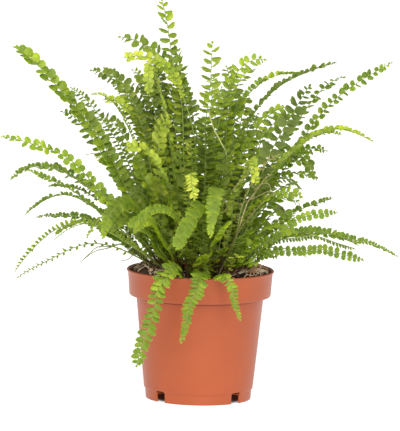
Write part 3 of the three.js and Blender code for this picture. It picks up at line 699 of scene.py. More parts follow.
def spun(bm, outline, steps, closed):
    """The solid or sheet that an outline of (radius, height) makes round the upright axis."""
    corners = [bm.verts.new((radius, 0, height)) for radius, height in outline]
    edges = [bm.edges.new(pair) for pair in zip(corners, corners[1:])]
    bmesh.ops.spin(
        bm,
        geom=corners + edges,
        cent=(0, 0, 0),
        axis=UP,
        angle=2 * math.pi,
        steps=steps,
        use_merge=True,
    )
    if closed:
        bmesh.ops.remove_doubles(bm, verts=bm.verts, dist=MERGE_DISTANCE)
        outward(bm)


# The pot: wall and floor as one sheet, given their thickness by a modifier. Its profile turns
# softly at the foot, the step, the underside of the collar and the lip.

POT_MERGE_DISTANCE = 1e-3
EDGE_ROUNDING = 0.35
EDGE_SEGMENTS = 2
SHARP_EDGE = math.radians(50)


def wall_outline():
    """The middle of the wall's thickness as (radius, height), from its foot up to its lip."""
    half = WALL / 2
    collar_foot = POT_HEIGHT - COLLAR_HEIGHT
    return [
        # The foot and its step
        (FOOT_RADIUS - half, 0),
        (FOOT_RADIUS - half + 0.15, 2),
        (FOOT_TOP_RADIUS - half - 0.1, FLOOR_MIDDLE),
        (FOOT_TOP_RADIUS - half, FOOT_HEIGHT),
        (BODY_FOOT_RADIUS - half, FOOT_HEIGHT + FOOT_STEP * 0.8),
        (BODY_FOOT_RADIUS - half + 0.1, FOOT_HEIGHT + FOOT_STEP * 1.8),
        # The body
        (mix(BODY_FOOT_RADIUS, BODY_TOP_RADIUS, 0.35) - half, mix(FOOT_HEIGHT, collar_foot, 0.35)),
        (mix(BODY_FOOT_RADIUS, BODY_TOP_RADIUS, 0.7) - half, mix(FOOT_HEIGHT, collar_foot, 0.7)),
        # The underside of the collar
        (BODY_TOP_RADIUS - half - 0.1, collar_foot - 1.5),
        (BODY_TOP_RADIUS - half + 0.3, collar_foot + 0.2),
        (BODY_TOP_RADIUS - half + 1.2, collar_foot + half),
        (COLLAR_FOOT_RADIUS - half - 0.9, collar_foot + half),
        (COLLAR_FOOT_RADIUS - half - 0.25, collar_foot + half + 0.3),
        # The collar and the lip
        (COLLAR_FOOT_RADIUS - half, collar_foot + half + 1.1),
        (mix(COLLAR_FOOT_RADIUS, COLLAR_TOP_RADIUS, 0.5) - half, collar_foot + COLLAR_HEIGHT / 2),
        (COLLAR_TOP_RADIUS - half, POT_HEIGHT - 3),
        (COLLAR_TOP_RADIUS - half + 0.45, POT_HEIGHT - 1.8),
        (LIP_RADIUS - half - 0.1, POT_HEIGHT - half),
    ]


def in_notch(face):
    """Whether a face of the wall or the floor is in one of the drainage notches."""
    centre = face.calc_center_median()
    turn = (math.atan2(centre.y, centre.x) / (2 * math.pi) * NOTCH_COUNT) % 1
    off = abs(turn - 0.5) * 2 * math.pi / NOTCH_COUNT
    notch_angle = NOTCH_STEPS / POT_STEPS * math.pi
    reach = math.hypot(centre.x, centre.y)
    return off < notch_angle and centre.z < NOTCH_HEIGHT and reach > NOTCH_INNER_RADIUS


def build_pot():
    """The pot, whose raised floor meets the wall at the third point of its outline."""
    wall = wall_outline()
    floor = [(0, FLOOR_MIDDLE), (NOTCH_INNER_RADIUS, FLOOR_MIDDLE), wall[2]]
    bm = bmesh.new()
    spun(bm, wall, POT_STEPS, closed=False)
    spun(bm, floor, POT_STEPS, closed=False)
    bmesh.ops.remove_doubles(bm, verts=bm.verts, dist=POT_MERGE_DISTANCE)
    cut = [face for face in bm.faces if in_notch(face)]
    bmesh.ops.delete(bm, geom=cut, context="FACES")
    for face in bm.faces:
        face.smooth = True
    pot = new_piece("nursery_pot", bm, [POT_MATERIAL], ["pot"])
    thicken = pot.modifiers.new("wall", "SOLIDIFY")
    thicken.solidify_mode = "NON_MANIFOLD"
    thicken.nonmanifold_thickness_mode = "CONSTRAINTS"
    thicken.thickness = WALL * MM
    thicken.offset = 0
    soften = pot.modifiers.new("rounded edges", "BEVEL")
    soften.width = EDGE_ROUNDING * MM
    soften.segments = EDGE_SEGMENTS
    soften.limit_method = "ANGLE"
    soften.angle_limit = SHARP_EDGE


# The root ball: peat with an uneven top. It rises to the crown and is heaped at both sides, from
# HEAP_START to HEAP_END off the middle, but sinks a little towards the wall.

PEAT_STEPS = 110
PEAT_RINGS = 34
PEAT_INSET = WALL + 0.5
PEAT_RISE = 6
PEAT_RISE_REACH = 0.95
PEAT_HEAP = 10
HEAP_START = 8
HEAP_END = 45
WALL_DIP = 0.3
WALL_DIP_START = 0.82
WALL_DIP_END = 0.97
PEAT_ROUGHNESS = 1.6
PEAT_GRAIN = 0.22
PEAT_OCTAVES = (0.6, 2.1, 4)


def peat_height(x, y):
    """The top of the peat at a place, in millimetres."""
    reach = math.hypot(x, y) / COLLAR_FOOT_RADIUS
    rough = noise.fractal(Vector((x, y, 0)) * PEAT_GRAIN, *PEAT_OCTAVES) * PEAT_ROUGHNESS
    dip = WALL_DIP * smoothstep(reach, WALL_DIP_START, WALL_DIP_END)
    heap = PEAT_HEAP * smoothstep(abs(x), HEAP_START, HEAP_END) * (1 - dip)
    return SOIL_TOP + PEAT_RISE * (1 - smoothstep(reach, 0, PEAT_RISE_REACH)) + heap + rough


def build_peat():
    """The root ball fills the pot from its raised floor to the uneven top."""
    collar_foot = POT_HEIGHT - COLLAR_HEIGHT
    edge = COLLAR_FOOT_RADIUS - PEAT_INSET
    top = [(edge * (1 - k / PEAT_RINGS), SOIL_TOP) for k in range(PEAT_RINGS)]
    outline = [
        (0, FLOOR_MIDDLE + WALL),
        (FOOT_TOP_RADIUS - PEAT_INSET, FLOOR_MIDDLE + WALL),
        (BODY_TOP_RADIUS - PEAT_INSET, collar_foot + WALL),
        (edge, collar_foot + WALL + 0.5),
        *top,
        (0, SOIL_TOP),
    ]
    bm = bmesh.new()
    spun(bm, outline, PEAT_STEPS, closed=True)
    for vertex in bm.verts:
        if vertex.co.z > SOIL_TOP - 1:
            vertex.co.z = peat_height(vertex.co.x, vertex.co.y)
    shade_smooth(bm)
    new_piece("peat", bm, [PEAT_MATERIAL], ["soil"])


# Crumbs, rootlets and strips of straw that lie on the peat. A crumb's dents, breadth, thickness
# and lift are shares of its size. Bends are in radians at each step.

CRUMBS = 420
CRUMB_SEED = 4
CRUMB_REACHES = (6, COLLAR_FOOT_RADIUS - 4)
CRUMB_SIZES = (0.7, 2.3)
CRUMB_DENTS = (0.65, 1.2)
CRUMB_BREADTHS = (0.5, 1)
CRUMB_THICKNESSES = (0.4, 0.8)
CRUMB_LIFT = 0.2
ROOTLETS = 80
ROOTLET_SEED = 11
ROOTLET_REACHES = (26, COLLAR_FOOT_RADIUS - 6)
ROOTLET_LENGTHS = (14, 34)
ROOTLET_RADII = (0.3, 0.55)
ROOTLET_BENDS = (0.05, 0.5)
STRIPS = 64
STRIP_SEED = 12
STRIP_REACHES = (30, COLLAR_FOOT_RADIUS - 10)
STRIP_LENGTHS = (9, 20)
STRIP_HALF_WIDTHS = (0.7, 1.7)
STRIP_FLATNESS = 0.3
STRIP_TURN_SPREAD = 0.45
STRIP_BEND_SPREAD = 0.06
FIBRE_STEPS = 9
FIBRE_MARGIN = 3.5
FIBRE_LIFTS = (0.6, 2.2)
STALK_CREASE = math.radians(70)
STALK_SIDES = 5
STRIP_SIDES = 6


def random_site(draw, inner, outer):
    reach = math.sqrt(draw.uniform(inner**2, outer**2))
    turn = draw.uniform(0, 2 * math.pi)
    return Vector((reach * math.cos(turn), reach * math.sin(turn), 0))


def build_crumbs():
    """Crumbs of peat, half sunk into its top."""
    draw = random.Random(CRUMB_SEED)
    bm = bmesh.new()
    for _ in range(CRUMBS):
        site = random_site(draw, *CRUMB_REACHES)
        size = draw.uniform(*CRUMB_SIZES)
        before = len(bm.verts)
        bmesh.ops.create_icosphere(bm, subdivisions=1, radius=size)
        bm.verts.ensure_lookup_table()
        crumb = bm.verts[before:]
        for vertex in crumb:
            vertex.co *= draw.uniform(*CRUMB_DENTS)
        turn = Quaternion(random_site(draw, 0.5, 1) + UP * draw.random(), draw.uniform(0, 3))
        broad = draw.uniform(*CRUMB_BREADTHS)
        thick = draw.uniform(*CRUMB_THICKNESSES)
        squash = Matrix.Diagonal((1, broad, thick, 1))
        site.z = peat_height(site.x, site.y) + size * CRUMB_LIFT
        place = Matrix.Translation(site) @ turn.to_matrix().to_4x4() @ squash
        bmesh.ops.transform(bm, matrix=place, verts=crumb)
    outward(bm)
    shade_smooth(bm)
    new_piece("peat_crumbs", bm, [PEAT_MATERIAL])


def tube(bm, points, radii, sides=STALK_SIDES, flatness=1.0):
    """A closed tube through the points: an end ring, extruded and moved from point to point."""
    tangents = [
        (points[min(i + 1, len(points) - 1)] - points[max(i - 1, 0)]).normalized()
        for i in range(len(points))
    ]
    side = tangents[0].orthogonal().normalized()
    places = []
    for point, tangent, radius in zip(points, tangents, radii):
        side = (side - tangent * side.dot(tangent)).normalized()
        up = tangent.cross(side)
        axes = Matrix((side * radius, up * radius * flatness, tangent)).transposed()
        places.append(Matrix.Translation(point) @ axes.to_4x4())
    swept(bm, places, sides)


def swept(bm, places, sides):
    """A closed tube whose rings are the unit circle at each place. Returns its faces."""
    ring = bmesh.ops.create_circle(bm, segments=sides, radius=1, cap_ends=False)["verts"]
    bmesh.ops.transform(bm, matrix=places[0], verts=ring)
    edges = list(dict.fromkeys(edge for vertex in ring for edge in vertex.link_edges))
    faces = [bmesh.ops.contextual_create(bm, geom=ring)["faces"][0]]
    for before, after in zip(places, places[1:]):
        made = bmesh.ops.extrude_edge_only(bm, edges=edges)["geom"]
        ring = [item for item in made if isinstance(item, bmesh.types.BMVert)]
        faces += [item for item in made if isinstance(item, bmesh.types.BMFace)]
        ring_set = set(ring)
        edges = [
            item
            for item in made
            if isinstance(item, bmesh.types.BMEdge) and set(item.verts) <= ring_set
        ]
        bmesh.ops.transform(bm, matrix=after @ before.inverted(), verts=ring)
    faces += bmesh.ops.contextual_create(bm, geom=edges)["faces"]
    return faces


def lay_fibre(bm, site, heading, bend, length, radius, draw, flatness=1.0):
    """A stalk that creeps over the peat from a site, bends at each step and stays in the pot."""
    points = []
    for _ in range(FIBRE_STEPS):
        inside = min(1, (COLLAR_FOOT_RADIUS - FIBRE_MARGIN) / site.length)
        site = Vector((site.x * inside, site.y * inside, 0))
        points.append(site + UP * (peat_height(site.x, site.y) + draw.uniform(*FIBRE_LIFTS)))
        heading += bend
        site = site + Vector((math.cos(heading), math.sin(heading), 0)) * (length / FIBRE_STEPS)
    sides = STALK_SIDES if flatness == 1 else STRIP_SIDES
    tube(bm, points, [radius] * len(points), sides, flatness)


def build_fibres():
    """Thin pale rootlets that loop over the peat, most of them at the left."""
    draw = random.Random(ROOTLET_SEED)
    bm = bmesh.new()
    for index in range(ROOTLETS):
        site = random_site(draw, *ROOTLET_REACHES)
        if index % 2:
            site.x = -abs(site.x)
        heading = draw.uniform(0, 2 * math.pi)
        bend = draw.choice((-1, 1)) * draw.uniform(*ROOTLET_BENDS)
        length = draw.uniform(*ROOTLET_LENGTHS)
        lay_fibre(bm, site, heading, bend, length, draw.uniform(*ROOTLET_RADII), draw)
    outward(bm)
    shade_smooth(bm, STALK_CREASE)
    new_piece("dry_rootlets", bm, [STRAW_MATERIAL])


def build_strips():
    """Flat strips of straw and bark, laid mostly outwards, most of them at the right."""
    draw = random.Random(STRIP_SEED)
    bm = bmesh.new()
    for index in range(STRIPS):
        site = random_site(draw, *STRIP_REACHES)
        if index % 4:
            site.x = abs(site.x)
        heading = math.atan2(site.y, site.x) + draw.gauss(0, STRIP_TURN_SPREAD)
        length = draw.uniform(*STRIP_LENGTHS)
        bend = draw.gauss(0, STRIP_BEND_SPREAD)
        half_width = draw.uniform(*STRIP_HALF_WIDTHS)
        lay_fibre(bm, site, heading, bend, length, half_width, draw, STRIP_FLATNESS)
    outward(bm)
    shade_smooth(bm, STALK_CREASE)
    new_piece("straw_strips", bm, [BARK_MATERIAL])


# Bare and dead stalks that stand up among the fronds, and the largest ones that lie on the peat.

STALK_SUBSTEPS = 4
STALK_FOOT_RADIUS = 0.7
STALK_TAPER = 1.5

# A rooted stalk's root: how far out it is, as a share of its lowest point's reach, and how deep.
STALK_ROOT_SHARE = 0.4
STALK_ROOT_DEPTH = 2

# Broad straws that lie inside the rim: their half widths, and where their points are on the peat.
LAID_STRAWS = [
    (1.2, [(18, -26), (27, -24), (36, -22)]),
    (0.9, [(33, 4), (39, -10), (46, -26)]),
    (1.0, [(36, -24), (44, -18), (51, -12)]),
    (0.8, [(45, -4), (50, -8), (54, -12)]),
    (0.9, [(47, -18), (51, -12), (54, -4)]),
    (0.6, [(-50, -18), (-43, -8), (-34, 4)]),
    (0.7, [(-40, -20), (-36, -10), (-35, 2)]),
    (0.5, [(-53, -6), (-48, 0), (-41, 4)]),
]

# Each stalk's radius at its top, then the points it passes through, from its top down.
PALE_STALKS = [
    (0.4, [(4, -40, 236), (8, -44, 224), (15, -46, 211), (19, -40, 199), (17, -16, 160)]),
]
STRAW_STALKS = [
    (0.3, [(55, -58, 189), (50, -58, 186), (44, -58, 177), (37, -58, 168), (34, -58, 160),
           (31, -58, 150), (28, -44, 138)]),
]
DARK_STALKS = [
    (0.25, [(-64, -20, 114), (-63, -20, 113), (-58, -20, 114), (-54, -20, 118), (-49, -18, 122),
            (-38, -14, 122)]),
]
# Loose ends of dead fronds, which hang from the stalks and the fronds.
LOOSE_STRANDS = [
    (0.22, [(58, -60, 174), (53, -60, 176), (47, -59, 173), (43, -59, 171), (37, -58, 168)]),
    (0.22, [(41, -58, 176), (46, -60, 181), (52, -61, 182), (54, -60, 177), (50, -59, 171)]),
    (0.18, [(48, -58, 186), (43, -60, 187), (39, -60, 182), (42, -60, 175), (36, -58, 166)]),
    (0.22, [(24, -58, 176), (28, -60, 181), (32, -60, 185), (38, -59, 190), (47, -60.5, 194)]),
    (0.18, [(12, -56, 172), (17, -58, 169), (20, -58, 163), (18, -56, 158)]),
    (0.18, [(-59, -20, 122), (-56, -20, 118), (-52, -18, 117)]),
    (0.18, [(-57, -20, 125), (-55, -20, 119), (-51, -18, 118)]),
    (0.18, [(-73, -30, 135), (-69, -29, 139), (-62, -26, 143), (-56, -20, 145)]),
]


def smooth_path(points):
    """The points with others between them, on a curve that passes through all."""
    ends = [points[0] * 2 - points[1], *points, points[-1] * 2 - points[-2]]
    path = []
    for a, b, c, d in zip(ends, ends[1:], ends[2:], ends[3:]):
        for k in range(STALK_SUBSTEPS):
            t = k / STALK_SUBSTEPS
            path.append(
                0.5
                * (2 * b + (c - a) * t + (2 * a - 5 * b + 4 * c - d) * t**2
                   + (3 * b - a - 3 * c + d) * t**3)
            )
    return [*path, points[-1]]


def seated(straws):
    """The straws with each of their points on the peat, their half width above it."""
    return [
        (half_width, [(x, y, peat_height(x, y) + half_width) for x, y in points])
        for half_width, points in straws
    ]


def build_stalks(name, stalks, material, rooted=True):
    """Bare stalks through their points, and if they are rooted, on down to the crown."""
    bm = bmesh.new()
    for top_radius, corners in stalks:
        corners = [Vector(corner) for corner in corners]
        if rooted:
            foot = corners[-1].xy * STALK_ROOT_SHARE
            corners.append(Vector((*foot, SOIL_TOP - STALK_ROOT_DEPTH)))
        path = smooth_path(corners)
        last = len(path) - 1
        foot_radius = STALK_FOOT_RADIUS if rooted else top_radius
        radii = [mix(top_radius, foot_radius, (k / last) ** STALK_TAPER) for k in range(last + 1)]
        tube(bm, path, radii)
    outward(bm)
    shade_smooth(bm, STALK_CREASE)
    new_piece(name, bm, [material])


# Leaflets: a small round leaf of two skins, broader towards the rib, with a toothed margin, a
# lobe at one side of its foot and a groove along its middle. Its shapes differ in how far it is
# domed and how far its margins droop. All are shares of its length.

LEAFLET_GRID = 4
LEAFLET_SHAPES = [(0.10, 0.10), (0.16, 0.04), (0.05, 0.22)]
TOOTH_REACH = 1.03
TOOTH_GAP_REACH = 0.95
FOOT_BREADTH = 0.22
TIP_NARROWING = 0.1
LOBE_BREADTH = 0.2
GROOVE_DEPTH = 0.03
TIP_DROOP = 0.5
SKIN_DISTANCE = 0.05
LEAFLET_CREASE = math.radians(60)


def leaflet_mesh(name, dome, droop, hand):
    """A leaflet of length 1 from the rib at 0, with its lobed side on the side that hand gives."""
    bm = bmesh.new()
    uv = bm.loops.layers.uv.new("leaflet")
    bmesh.ops.create_grid(bm, x_segments=LEAFLET_GRID, y_segments=LEAFLET_GRID, size=1)
    rim = {vertex for vertex in bm.verts if vertex.is_boundary}
    order = {vertex: math.atan2(vertex.co.y, vertex.co.x) for vertex in rim}
    teeth = set(sorted(rim, key=order.get)[::2])
    for vertex in bm.verts:
        u, v = vertex.co.x, vertex.co.y
        x = u * math.sqrt(1 - v * v / 2)
        y = v * math.sqrt(1 - u * u / 2)
        if vertex in rim:
            scale = TOOTH_REACH if vertex in teeth else TOOTH_GAP_REACH
            x *= scale
            y *= scale
        fullness = 1 + FOOT_BREADTH * max(0, -x) - TIP_NARROWING * max(0, x)
        lobe = 1 + LOBE_BREADTH * max(0, -x) * max(0, y * hand)
        domed = dome * (1 - x * x) * (1 - y * y)
        height = domed - droop * y * y - TIP_DROOP * droop * max(0, x) ** 2
        groove = GROOVE_DEPTH if abs(v) < 0.1 and vertex not in rim else 0
        vertex.co = Vector((0.5 + 0.5 * x, 0.5 * y * fullness * lobe, height - groove))
    upper = list(bm.faces)
    copy = bmesh.ops.duplicate(bm, geom=upper)
    lower = [item for item in copy["geom"] if isinstance(item, bmesh.types.BMFace)]
    bmesh.ops.reverse_faces(bm, faces=lower)
    inner = {v for face in lower for v in face.verts if not v.is_boundary}
    bmesh.ops.translate(bm, vec=(0, 0, -SKIN_DISTANCE), verts=list(inner))
    bmesh.ops.remove_doubles(bm, verts=bm.verts, dist=MERGE_DISTANCE)
    underside = set(lower)
    for face in bm.faces:
        face.smooth = True
        face.material_index = 1 if face in underside else 0
        for loop in face.loops:
            loop[uv].uv = (loop.vert.co.x, loop.vert.co.y)
    for edge in bm.edges:
        edge.smooth = edge.calc_face_angle(0) < LEAFLET_CREASE
        if len({face.material_index for face in edge.link_faces}) > 1:
            edge.smooth = False
    mesh = bpy.data.meshes.new(name)
    bm.to_mesh(mesh)
    bm.free()
    return mesh


LEAFLETS = {
    hand: [
        leaflet_mesh(f"leaflet_{index}_{hand}", dome, droop, hand)
        for index, (dome, droop) in enumerate(LEAFLET_SHAPES)
    ]
    for hand in (-1, 1)
}


# Fronds on the same curves as the part's. A small frond's root is at a share of its middle's
# reach, up to a limit in terms of the crown's radius.

FROND_SEED = 100
SMALL_FROND_SEED = 300
SMALL_ROOT_SHARE = 0.5
SMALL_ROOT_LIMIT = 0.85


class Arch:
    """A frond's curve from its root through its middle to its tip, read by its share of length."""

    STEPS = 80

    def __init__(self, root, middle, tip):
        self.root = root
        self.tip = tip
        self.control = middle * 2 - (root + tip) / 2
        self.lengths = [0]
        places = [self.place(k / self.STEPS) for k in range(self.STEPS + 1)]
        for a, b in zip(places, places[1:]):
            self.lengths.append(self.lengths[-1] + (b - a).length)
        self.length = self.lengths[-1]

    def place(self, t):
        return self.root * (1 - t) ** 2 + self.control * (2 * t * (1 - t)) + self.tip * t**2

    def parameter(self, share):
        wanted = share * self.length
        for k in range(self.STEPS):
            if self.lengths[k + 1] >= wanted:
                step = self.lengths[k + 1] - self.lengths[k]
                return (k + (wanted - self.lengths[k]) / step) / self.STEPS
        return 1

    def at(self, share):
        """The point and the direction at a share of the length."""
        t = self.parameter(share)
        along = (self.control - self.root) * (1 - t) + (self.tip - self.control) * t
        return self.place(t), along.normalized()


def crown_sites():
    """The places where stems come up, set out like the seeds of a sunflower."""
    sites = []
    for i in range(CROWN_SITES):
        radius = CROWN_RADIUS * math.sqrt((i + 0.5) / CROWN_SITES)
        turn = i * GOLDEN_ANGLE
        sites.append(Vector((radius * math.cos(turn), radius * math.sin(turn))))
    return sites


def take_site(free, middle):
    """The free site nearest to where the frond's lean would have it, low fronds further out."""
    reach = math.hypot(middle.x, middle.y)
    lean = reach / math.hypot(reach, middle.z - SOIL_TOP)
    wish = middle.xy.normalized() * CROWN_RADIUS * lean
    return free.pop(min(range(len(free)), key=lambda i: (free[i] - wish).length))


def leaflet_share(u, full_to):
    """The length of a leaflet at u along the blade, as a share of the half width."""
    grown = mix(FIRST_LEAFLET, 1, smoothstep(u, 0, FULL_FROM))
    past = max(0, (u - full_to) / (1 - full_to))
    return grown * (1 - TIP_LOSS * past**TIP_CURVE)


class Blade:
    """The frame of a frond along its arch: its point, its direction, its side and its face."""

    def __init__(self, root, row, draw):
        _, tip, middle, _, roll, _, _, setting_name = row
        tip = Vector(tip)
        self.arch = Arch(root, Vector(middle), tip)
        self.across = Vector((root.y - tip.y, tip.x - root.x, 0)).normalized()
        self.roll = math.radians(roll)
        unsteady = SETTINGS[setting_name].disorder - STEADY_DISORDER
        self.twist = draw.uniform(-TWIST, TWIST) * unsteady
        self.waves = [
            (draw.uniform(*WANDER_PACES), draw.uniform(*WANDER_STARTS)) for _ in range(2)
        ]

    def at(self, share):
        """Each frond wanders a little off its arch and twists, but not at its root and tip."""
        point, along = self.arch.at(share)
        side = (self.across - along * self.across.dot(along)).normalized()
        roll = self.roll * smoothstep(share, 0, ROLL_SHARE)
        roll += self.twist * math.sin(share * math.pi * TWIST_WAVES)
        side.rotate(Quaternion(along, roll))
        face = along.cross(side)
        free = math.sin(share * math.pi) * WANDER
        for way, (pace, start) in zip((side, face), self.waves):
            point = point + way * (math.sin(start + pace * share * 2 * math.pi) * free)
        return point, along, side, face


def add_rib(bm, layer, blade, youth, tone):
    """The tapered rib of a frond, which starts a little under the soil."""
    places = []
    for k in range(RIB_STEPS + 1):
        share = k / RIB_STEPS
        point, along, side, face = blade.at(share)
        if k == 0:
            point = point - UP * ROOT_DEPTH
        radius = mix(RIB_FOOT_RADIUS, RIB_TIP_RADIUS, share**RIB_TAPER)
        axes = Matrix((side * radius, face * radius, along)).transposed()
        places.append(Matrix.Translation(point) @ axes.to_4x4())
    faces = swept(bm, places, RIB_SIDES)
    for face in faces:
        from_root = (face.calc_center_median() - blade.arch.root).length
        share = min(1, from_root / blade.arch.length)
        brown = 1 - smoothstep(from_root, BROWN_START, BROWN_END)
        face[layer] = (youth * smoothstep(share, RIB_YOUNG_FROM, 1), tone, brown)
        face.smooth = True
        face.material_index = 0


def add_leaflet(bm, layer, template, place, values, material_index):
    verts_before = len(bm.verts)
    faces_before = len(bm.faces)
    bm.from_mesh(template)
    bm.verts.ensure_lookup_table()
    bm.faces.ensure_lookup_table()
    bmesh.ops.transform(bm, matrix=place, verts=bm.verts[verts_before:])
    for face in bm.faces[faces_before:]:
        face[layer] = (*values, face.material_index)
        face.material_index = material_index


def leaflet_place(frame_at, hand, size, u, setting, draw):
    """Where a leaflet of that size stands on the rib, with a little disorder of its own."""
    point, along, side, face = frame_at
    fold = math.radians(setting.fold + draw.gauss(0, FOLD_SPREAD * setting.disorder))
    sweep = mix(FORWARD_SWEEP, TIP_SWEEP, u) + draw.gauss(0, SWEEP_SPREAD * setting.disorder)
    outward_way = side * hand
    reach = outward_way * math.cos(fold) + face * math.sin(fold)
    normal = face * math.cos(fold) - outward_way * math.sin(fold)
    reach = reach * math.cos(sweep) + along * math.sin(sweep)
    light = UP - reach * UP.dot(reach)
    turn = normal.cross(light)
    angle = math.atan2(turn.dot(reach), normal.dot(light))
    angle = max(-math.pi / 2, min(math.pi / 2, angle)) * setting.light_turn
    angle += hand * LEAFLET_TILT + draw.gauss(0, TILT_SPREAD * setting.disorder)
    normal = (normal - reach * normal.dot(reach)).normalized()
    normal.rotate(Quaternion(reach, angle))
    width = normal.cross(reach)
    broad = size * setting.width * draw.uniform(*WIDTH_RANGE)
    axes = Matrix((reach * size, width * broad, normal * size)).transposed()
    return Matrix.Translation(point - face * LEAFLET_INSET) @ axes.to_4x4()


def youth_at(share, young):
    """How young a leaflet at a share of the length is, if that share of the blade is young."""
    if not young:
        return 0
    return smoothstep(share, 1 - young * YOUNG_START, 1 - young * YOUNG_FULL)


def add_frond(bm, layer, blade, row, leaf_index, draw):
    """A rib with two rows of leaflets that alternate, and one leaflet at its tip."""
    stem, _, _, half_width, _, _, young, setting_name = row
    setting = SETTINGS[setting_name]
    length = blade.arch.length
    start = BARE_SHARES.get(stem, BARE_LENGTH / length)
    tone = TONES.get(stem, draw.uniform(*TONE_RANGE))
    add_rib(bm, layer, blade, young, tone)
    share = start
    hand = 1
    while share < 1 - LAST_LEAFLET / length:
        u = (share - start) / (1 - start)
        size = half_width * leaflet_share(u, setting.full_to) * draw.uniform(*SIZE_RANGE)
        place = leaflet_place(blade.at(share), hand, size, u, setting, draw)
        template = draw.choice(LEAFLETS[-hand])
        youth = min(1, max(0, youth_at(share, young) + draw.gauss(0, YOUTH_SPREAD)))
        values = (youth, max(-1, min(1, tone + draw.gauss(0, TONE_SPREAD))))
        add_leaflet(bm, layer, template, place, values, leaf_index)
        pitch = LEAFLET_SPACING * setting.spacing * (size / TYPICAL_LEAFLET) ** SPACING_POWER
        gap = setting.lag if hand > 0 else 1 - setting.lag
        share += pitch * gap * draw.uniform(*GAP_RANGE) / length
        hand = -hand
    point, along, _, face = blade.at(1)
    size = half_width * (1 - TIP_LOSS) * END_LEAFLET
    width = face.cross(along) * size * END_LEAFLET_WIDTH
    axes = Matrix((along * size, width, face * size)).transposed()
    place = Matrix.Translation(point - along * END_LEAFLET_INSET) @ axes.to_4x4()
    add_leaflet(bm, layer, LEAFLETS[1][0], place, (youth_at(1, young), tone), leaf_index)


def new_frond_mesh():
    bm = bmesh.new()
    bm.loops.layers.uv.new("leaflet")
    return bm, bm.faces.layers.float_vector.new("leaf")


def join(piece, bm):
    """Adds a finished bmesh, which is freed, to a piece's."""
    mesh = bpy.data.meshes.new("joined")
    bm.to_mesh(mesh)
    bm.free()
    piece.from_mesh(mesh)
    bpy.data.meshes.remove(mesh)


def build_frond_piece(name, roots, rows, seed, replaced=()):
    """One piece with the fronds of those rows, each from its own root."""
    draw = random.Random(seed)
    piece, _ = new_frond_mesh()
    colours = list(dict.fromkeys(row[5] for row in rows))
    for root, row in zip(roots, rows):
        blade = Blade(root, row, draw)
        index = 1 + colours.index(row[5])
        bm, layer = new_frond_mesh()
        add_frond(bm, layer, blade, row, index, draw)
        join(piece, bm)
    materials = [STALK_MATERIAL] + [LEAF_MATERIALS[colour] for colour in colours]
    new_piece(name, piece, materials, replaced)


def rows_by_name(rows):
    groups = {}
    for row in rows:
        groups.setdefault(row[0], []).append(row)
    return groups


def build_fronds():
    """One piece for each stem of the part, with all the fronds that grow from it."""
    free = crown_sites()
    for number, (stem, rows) in enumerate(rows_by_name(FRONDS).items()):
        root = take_site(free, Vector(rows[0][2])).to_3d() + UP * SOIL_TOP
        roots = [root] * len(rows)
        seed = FROND_SEED + number
        build_frond_piece(f"fern_{stem}", roots, rows, seed, [f"frond_{stem}"])


def build_small_fronds():
    """The small fronds, which come up between the stems, nearest to where they lean."""
    for number, (side, rows) in enumerate(rows_by_name(SMALL_FRONDS).items()):
        roots = [nearest_root(Vector(row[2])) for row in rows]
        seed = SMALL_FROND_SEED + number
        build_frond_piece(f"small_fern_{side}", roots, rows, seed)


def nearest_root(middle):
    """The root of a small frond, on the side of the crown to which its middle leans."""
    reach = min(CROWN_RADIUS * SMALL_ROOT_LIMIT, middle.xy.length * SMALL_ROOT_SHARE)
    return (middle.xy.normalized() * reach).to_3d() + UP * SOIL_TOP


# Short fronds that fill the heart and the foot of the plant, from the middle outwards.

UNDERGROWTH = 38
UNDERGROWTH_PIECES = 3
UNDERGROWTH_ROW_SEED = 7
UNDERGROWTH_SEED = 400
UNDERGROWTH_COLOURS = ["dark", "green", "light", "green", "light", "dark", "green"]
UNDERGROWTH_SETTINGS = ["tilted", "ladder", "flat", "plates", "buttons"]
UNDERGROWTH_HALF_WIDTHS = (5, 6.8)
UNDERGROWTH_ROLLS = (-60, 60)

# From the first frond to the last: its lift in degrees, its length, and its root's share of the
# crown's radius. The lift also differs at random, and is more at the sides.
FIRST_LIFT, LAST_LIFT = 76, 46
FIRST_LENGTH, LAST_LENGTH = 124, 58
FIRST_ROOT, LAST_ROOT = 0.25, 0.9
SIDE_LIFT = 16
LIFT_RANGE = (-6, 6)
LENGTH_RANGE = (0.8, 1.1)
SAG_RANGE = (10, 34)


def undergrowth_row(index, draw):
    """A short frond that leans out at the next golden angle. Later ones are shorter and lower."""
    turn = index * GOLDEN_ANGLE
    out = Vector((math.cos(turn), math.sin(turn), 0))
    later = index / UNDERGROWTH
    lift = mix(FIRST_LIFT, LAST_LIFT, later) + SIDE_LIFT * later * abs(out.x)
    lift = math.radians(lift + draw.uniform(*LIFT_RANGE))
    length = mix(FIRST_LENGTH, LAST_LENGTH, later) * draw.uniform(*LENGTH_RANGE)
    reach = CROWN_RADIUS * mix(FIRST_ROOT, LAST_ROOT, later)
    root = out * reach + UP * SOIL_TOP
    middle = root + (out * math.cos(lift) + UP * math.sin(lift)) * (length / 2)
    sagged = lift - math.radians(draw.uniform(*SAG_RANGE))
    tip = middle + (out * math.cos(sagged) + UP * math.sin(sagged)) * (length / 2)
    roll = draw.uniform(*UNDERGROWTH_ROLLS)
    colour = UNDERGROWTH_COLOURS[index % len(UNDERGROWTH_COLOURS)]
    setting = UNDERGROWTH_SETTINGS[index % len(UNDERGROWTH_SETTINGS)]
    half_width = draw.uniform(*UNDERGROWTH_HALF_WIDTHS)
    return root, ("heart", tip, middle, half_width, roll, colour, 0, setting)


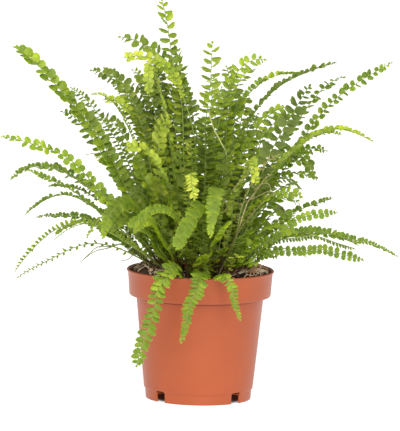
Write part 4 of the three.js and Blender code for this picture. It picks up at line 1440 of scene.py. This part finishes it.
def build_undergrowth():
    draw = random.Random(UNDERGROWTH_ROW_SEED)
    made = [undergrowth_row(index, draw) for index in range(UNDERGROWTH)]
    for number in range(UNDERGROWTH_PIECES):
        chosen = made[number::UNDERGROWTH_PIECES]
        roots = [root for root, _ in chosen]
        rows = [row for _, row in chosen]
        seed = UNDERGROWTH_SEED + number
        build_frond_piece(f"undergrowth_{number + 1}", roots, rows, seed)


# The studio


def build_floor():
    bm = bmesh.new()
    bmesh.ops.create_grid(bm, x_segments=1, y_segments=1, size=FLOOR_SIZE * MM / 2)
    mesh = bpy.data.meshes.new("studio_floor")
    bm.to_mesh(mesh)
    bm.free()
    mesh.materials.append(FLOOR_MATERIAL)
    floor = bpy.data.objects.new("studio_floor", mesh)
    bpy.context.scene.collection.objects.link(floor)


def look_from(obj, place, aim):
    obj.location = place * MM
    obj.rotation_mode = "QUATERNION"
    obj.rotation_quaternion = (aim - place).to_track_quat("-Z", "Y")


def build_lights():
    overhead = bpy.data.lights.new("overhead", "SUN")
    overhead.energy = OVERHEAD_STRENGTH
    overhead.angle = OVERHEAD_SPREAD
    soft_box = bpy.data.lights.new("soft_box", "AREA")
    soft_box.shape = "RECTANGLE"
    soft_box.size = SOFT_BOX_WIDTH * MM
    soft_box.size_y = SOFT_BOX_HEIGHT * MM
    soft_box.energy = SOFT_BOX_WATTS
    for data, place in ((overhead, OVERHEAD_PLACE), (soft_box, SOFT_BOX_PLACE)):
        lamp = bpy.data.objects.new(data.name, data)
        bpy.context.scene.collection.objects.link(lamp)
        look_from(lamp, place, CAMERA_AIM)
    world = bpy.data.worlds.new("white surround")
    world.use_nodes = True
    background = world.node_tree.nodes["Background"]
    background.inputs["Color"].default_value = (1, 1, 1, 1)
    background.inputs["Strength"].default_value = SURROUND_STRENGTH
    bpy.context.scene.world = world


def build_camera():
    data = bpy.data.cameras.new("camera")
    data.sensor_width = CAMERA_SENSOR
    data.lens = CAMERA_LENS
    data.clip_end = CAMERA_REACH
    camera = bpy.data.objects.new("camera", data)
    bpy.context.scene.collection.objects.link(camera)
    look_from(camera, CAMERA_PLACE, CAMERA_AIM)
    camera.rotation_quaternion @= Quaternion((0, 0, 1), CAMERA_TURN)
    bpy.context.scene.camera = camera


build_camera()
build_lights()
build_floor()
build_pot()
build_peat()
build_crumbs()
build_fibres()
build_strips()
build_stalks("laid_straws", seated(LAID_STRAWS), STRAW_MATERIAL, rooted=False)
build_stalks("pale_bare_stalks", PALE_STALKS, PALE_STALK_MATERIAL)
build_stalks("straw_stalks", STRAW_STALKS, STRAND_MATERIAL)
build_stalks("dark_dry_stalks", DARK_STALKS, DRY_STALK_MATERIAL)
build_stalks("loose_strands", LOOSE_STRANDS, STRAND_MATERIAL, rooted=False)
build_fronds()
build_small_fronds()
build_undergrowth()
bpy.context.scene.view_settings.view_transform = "Standard"
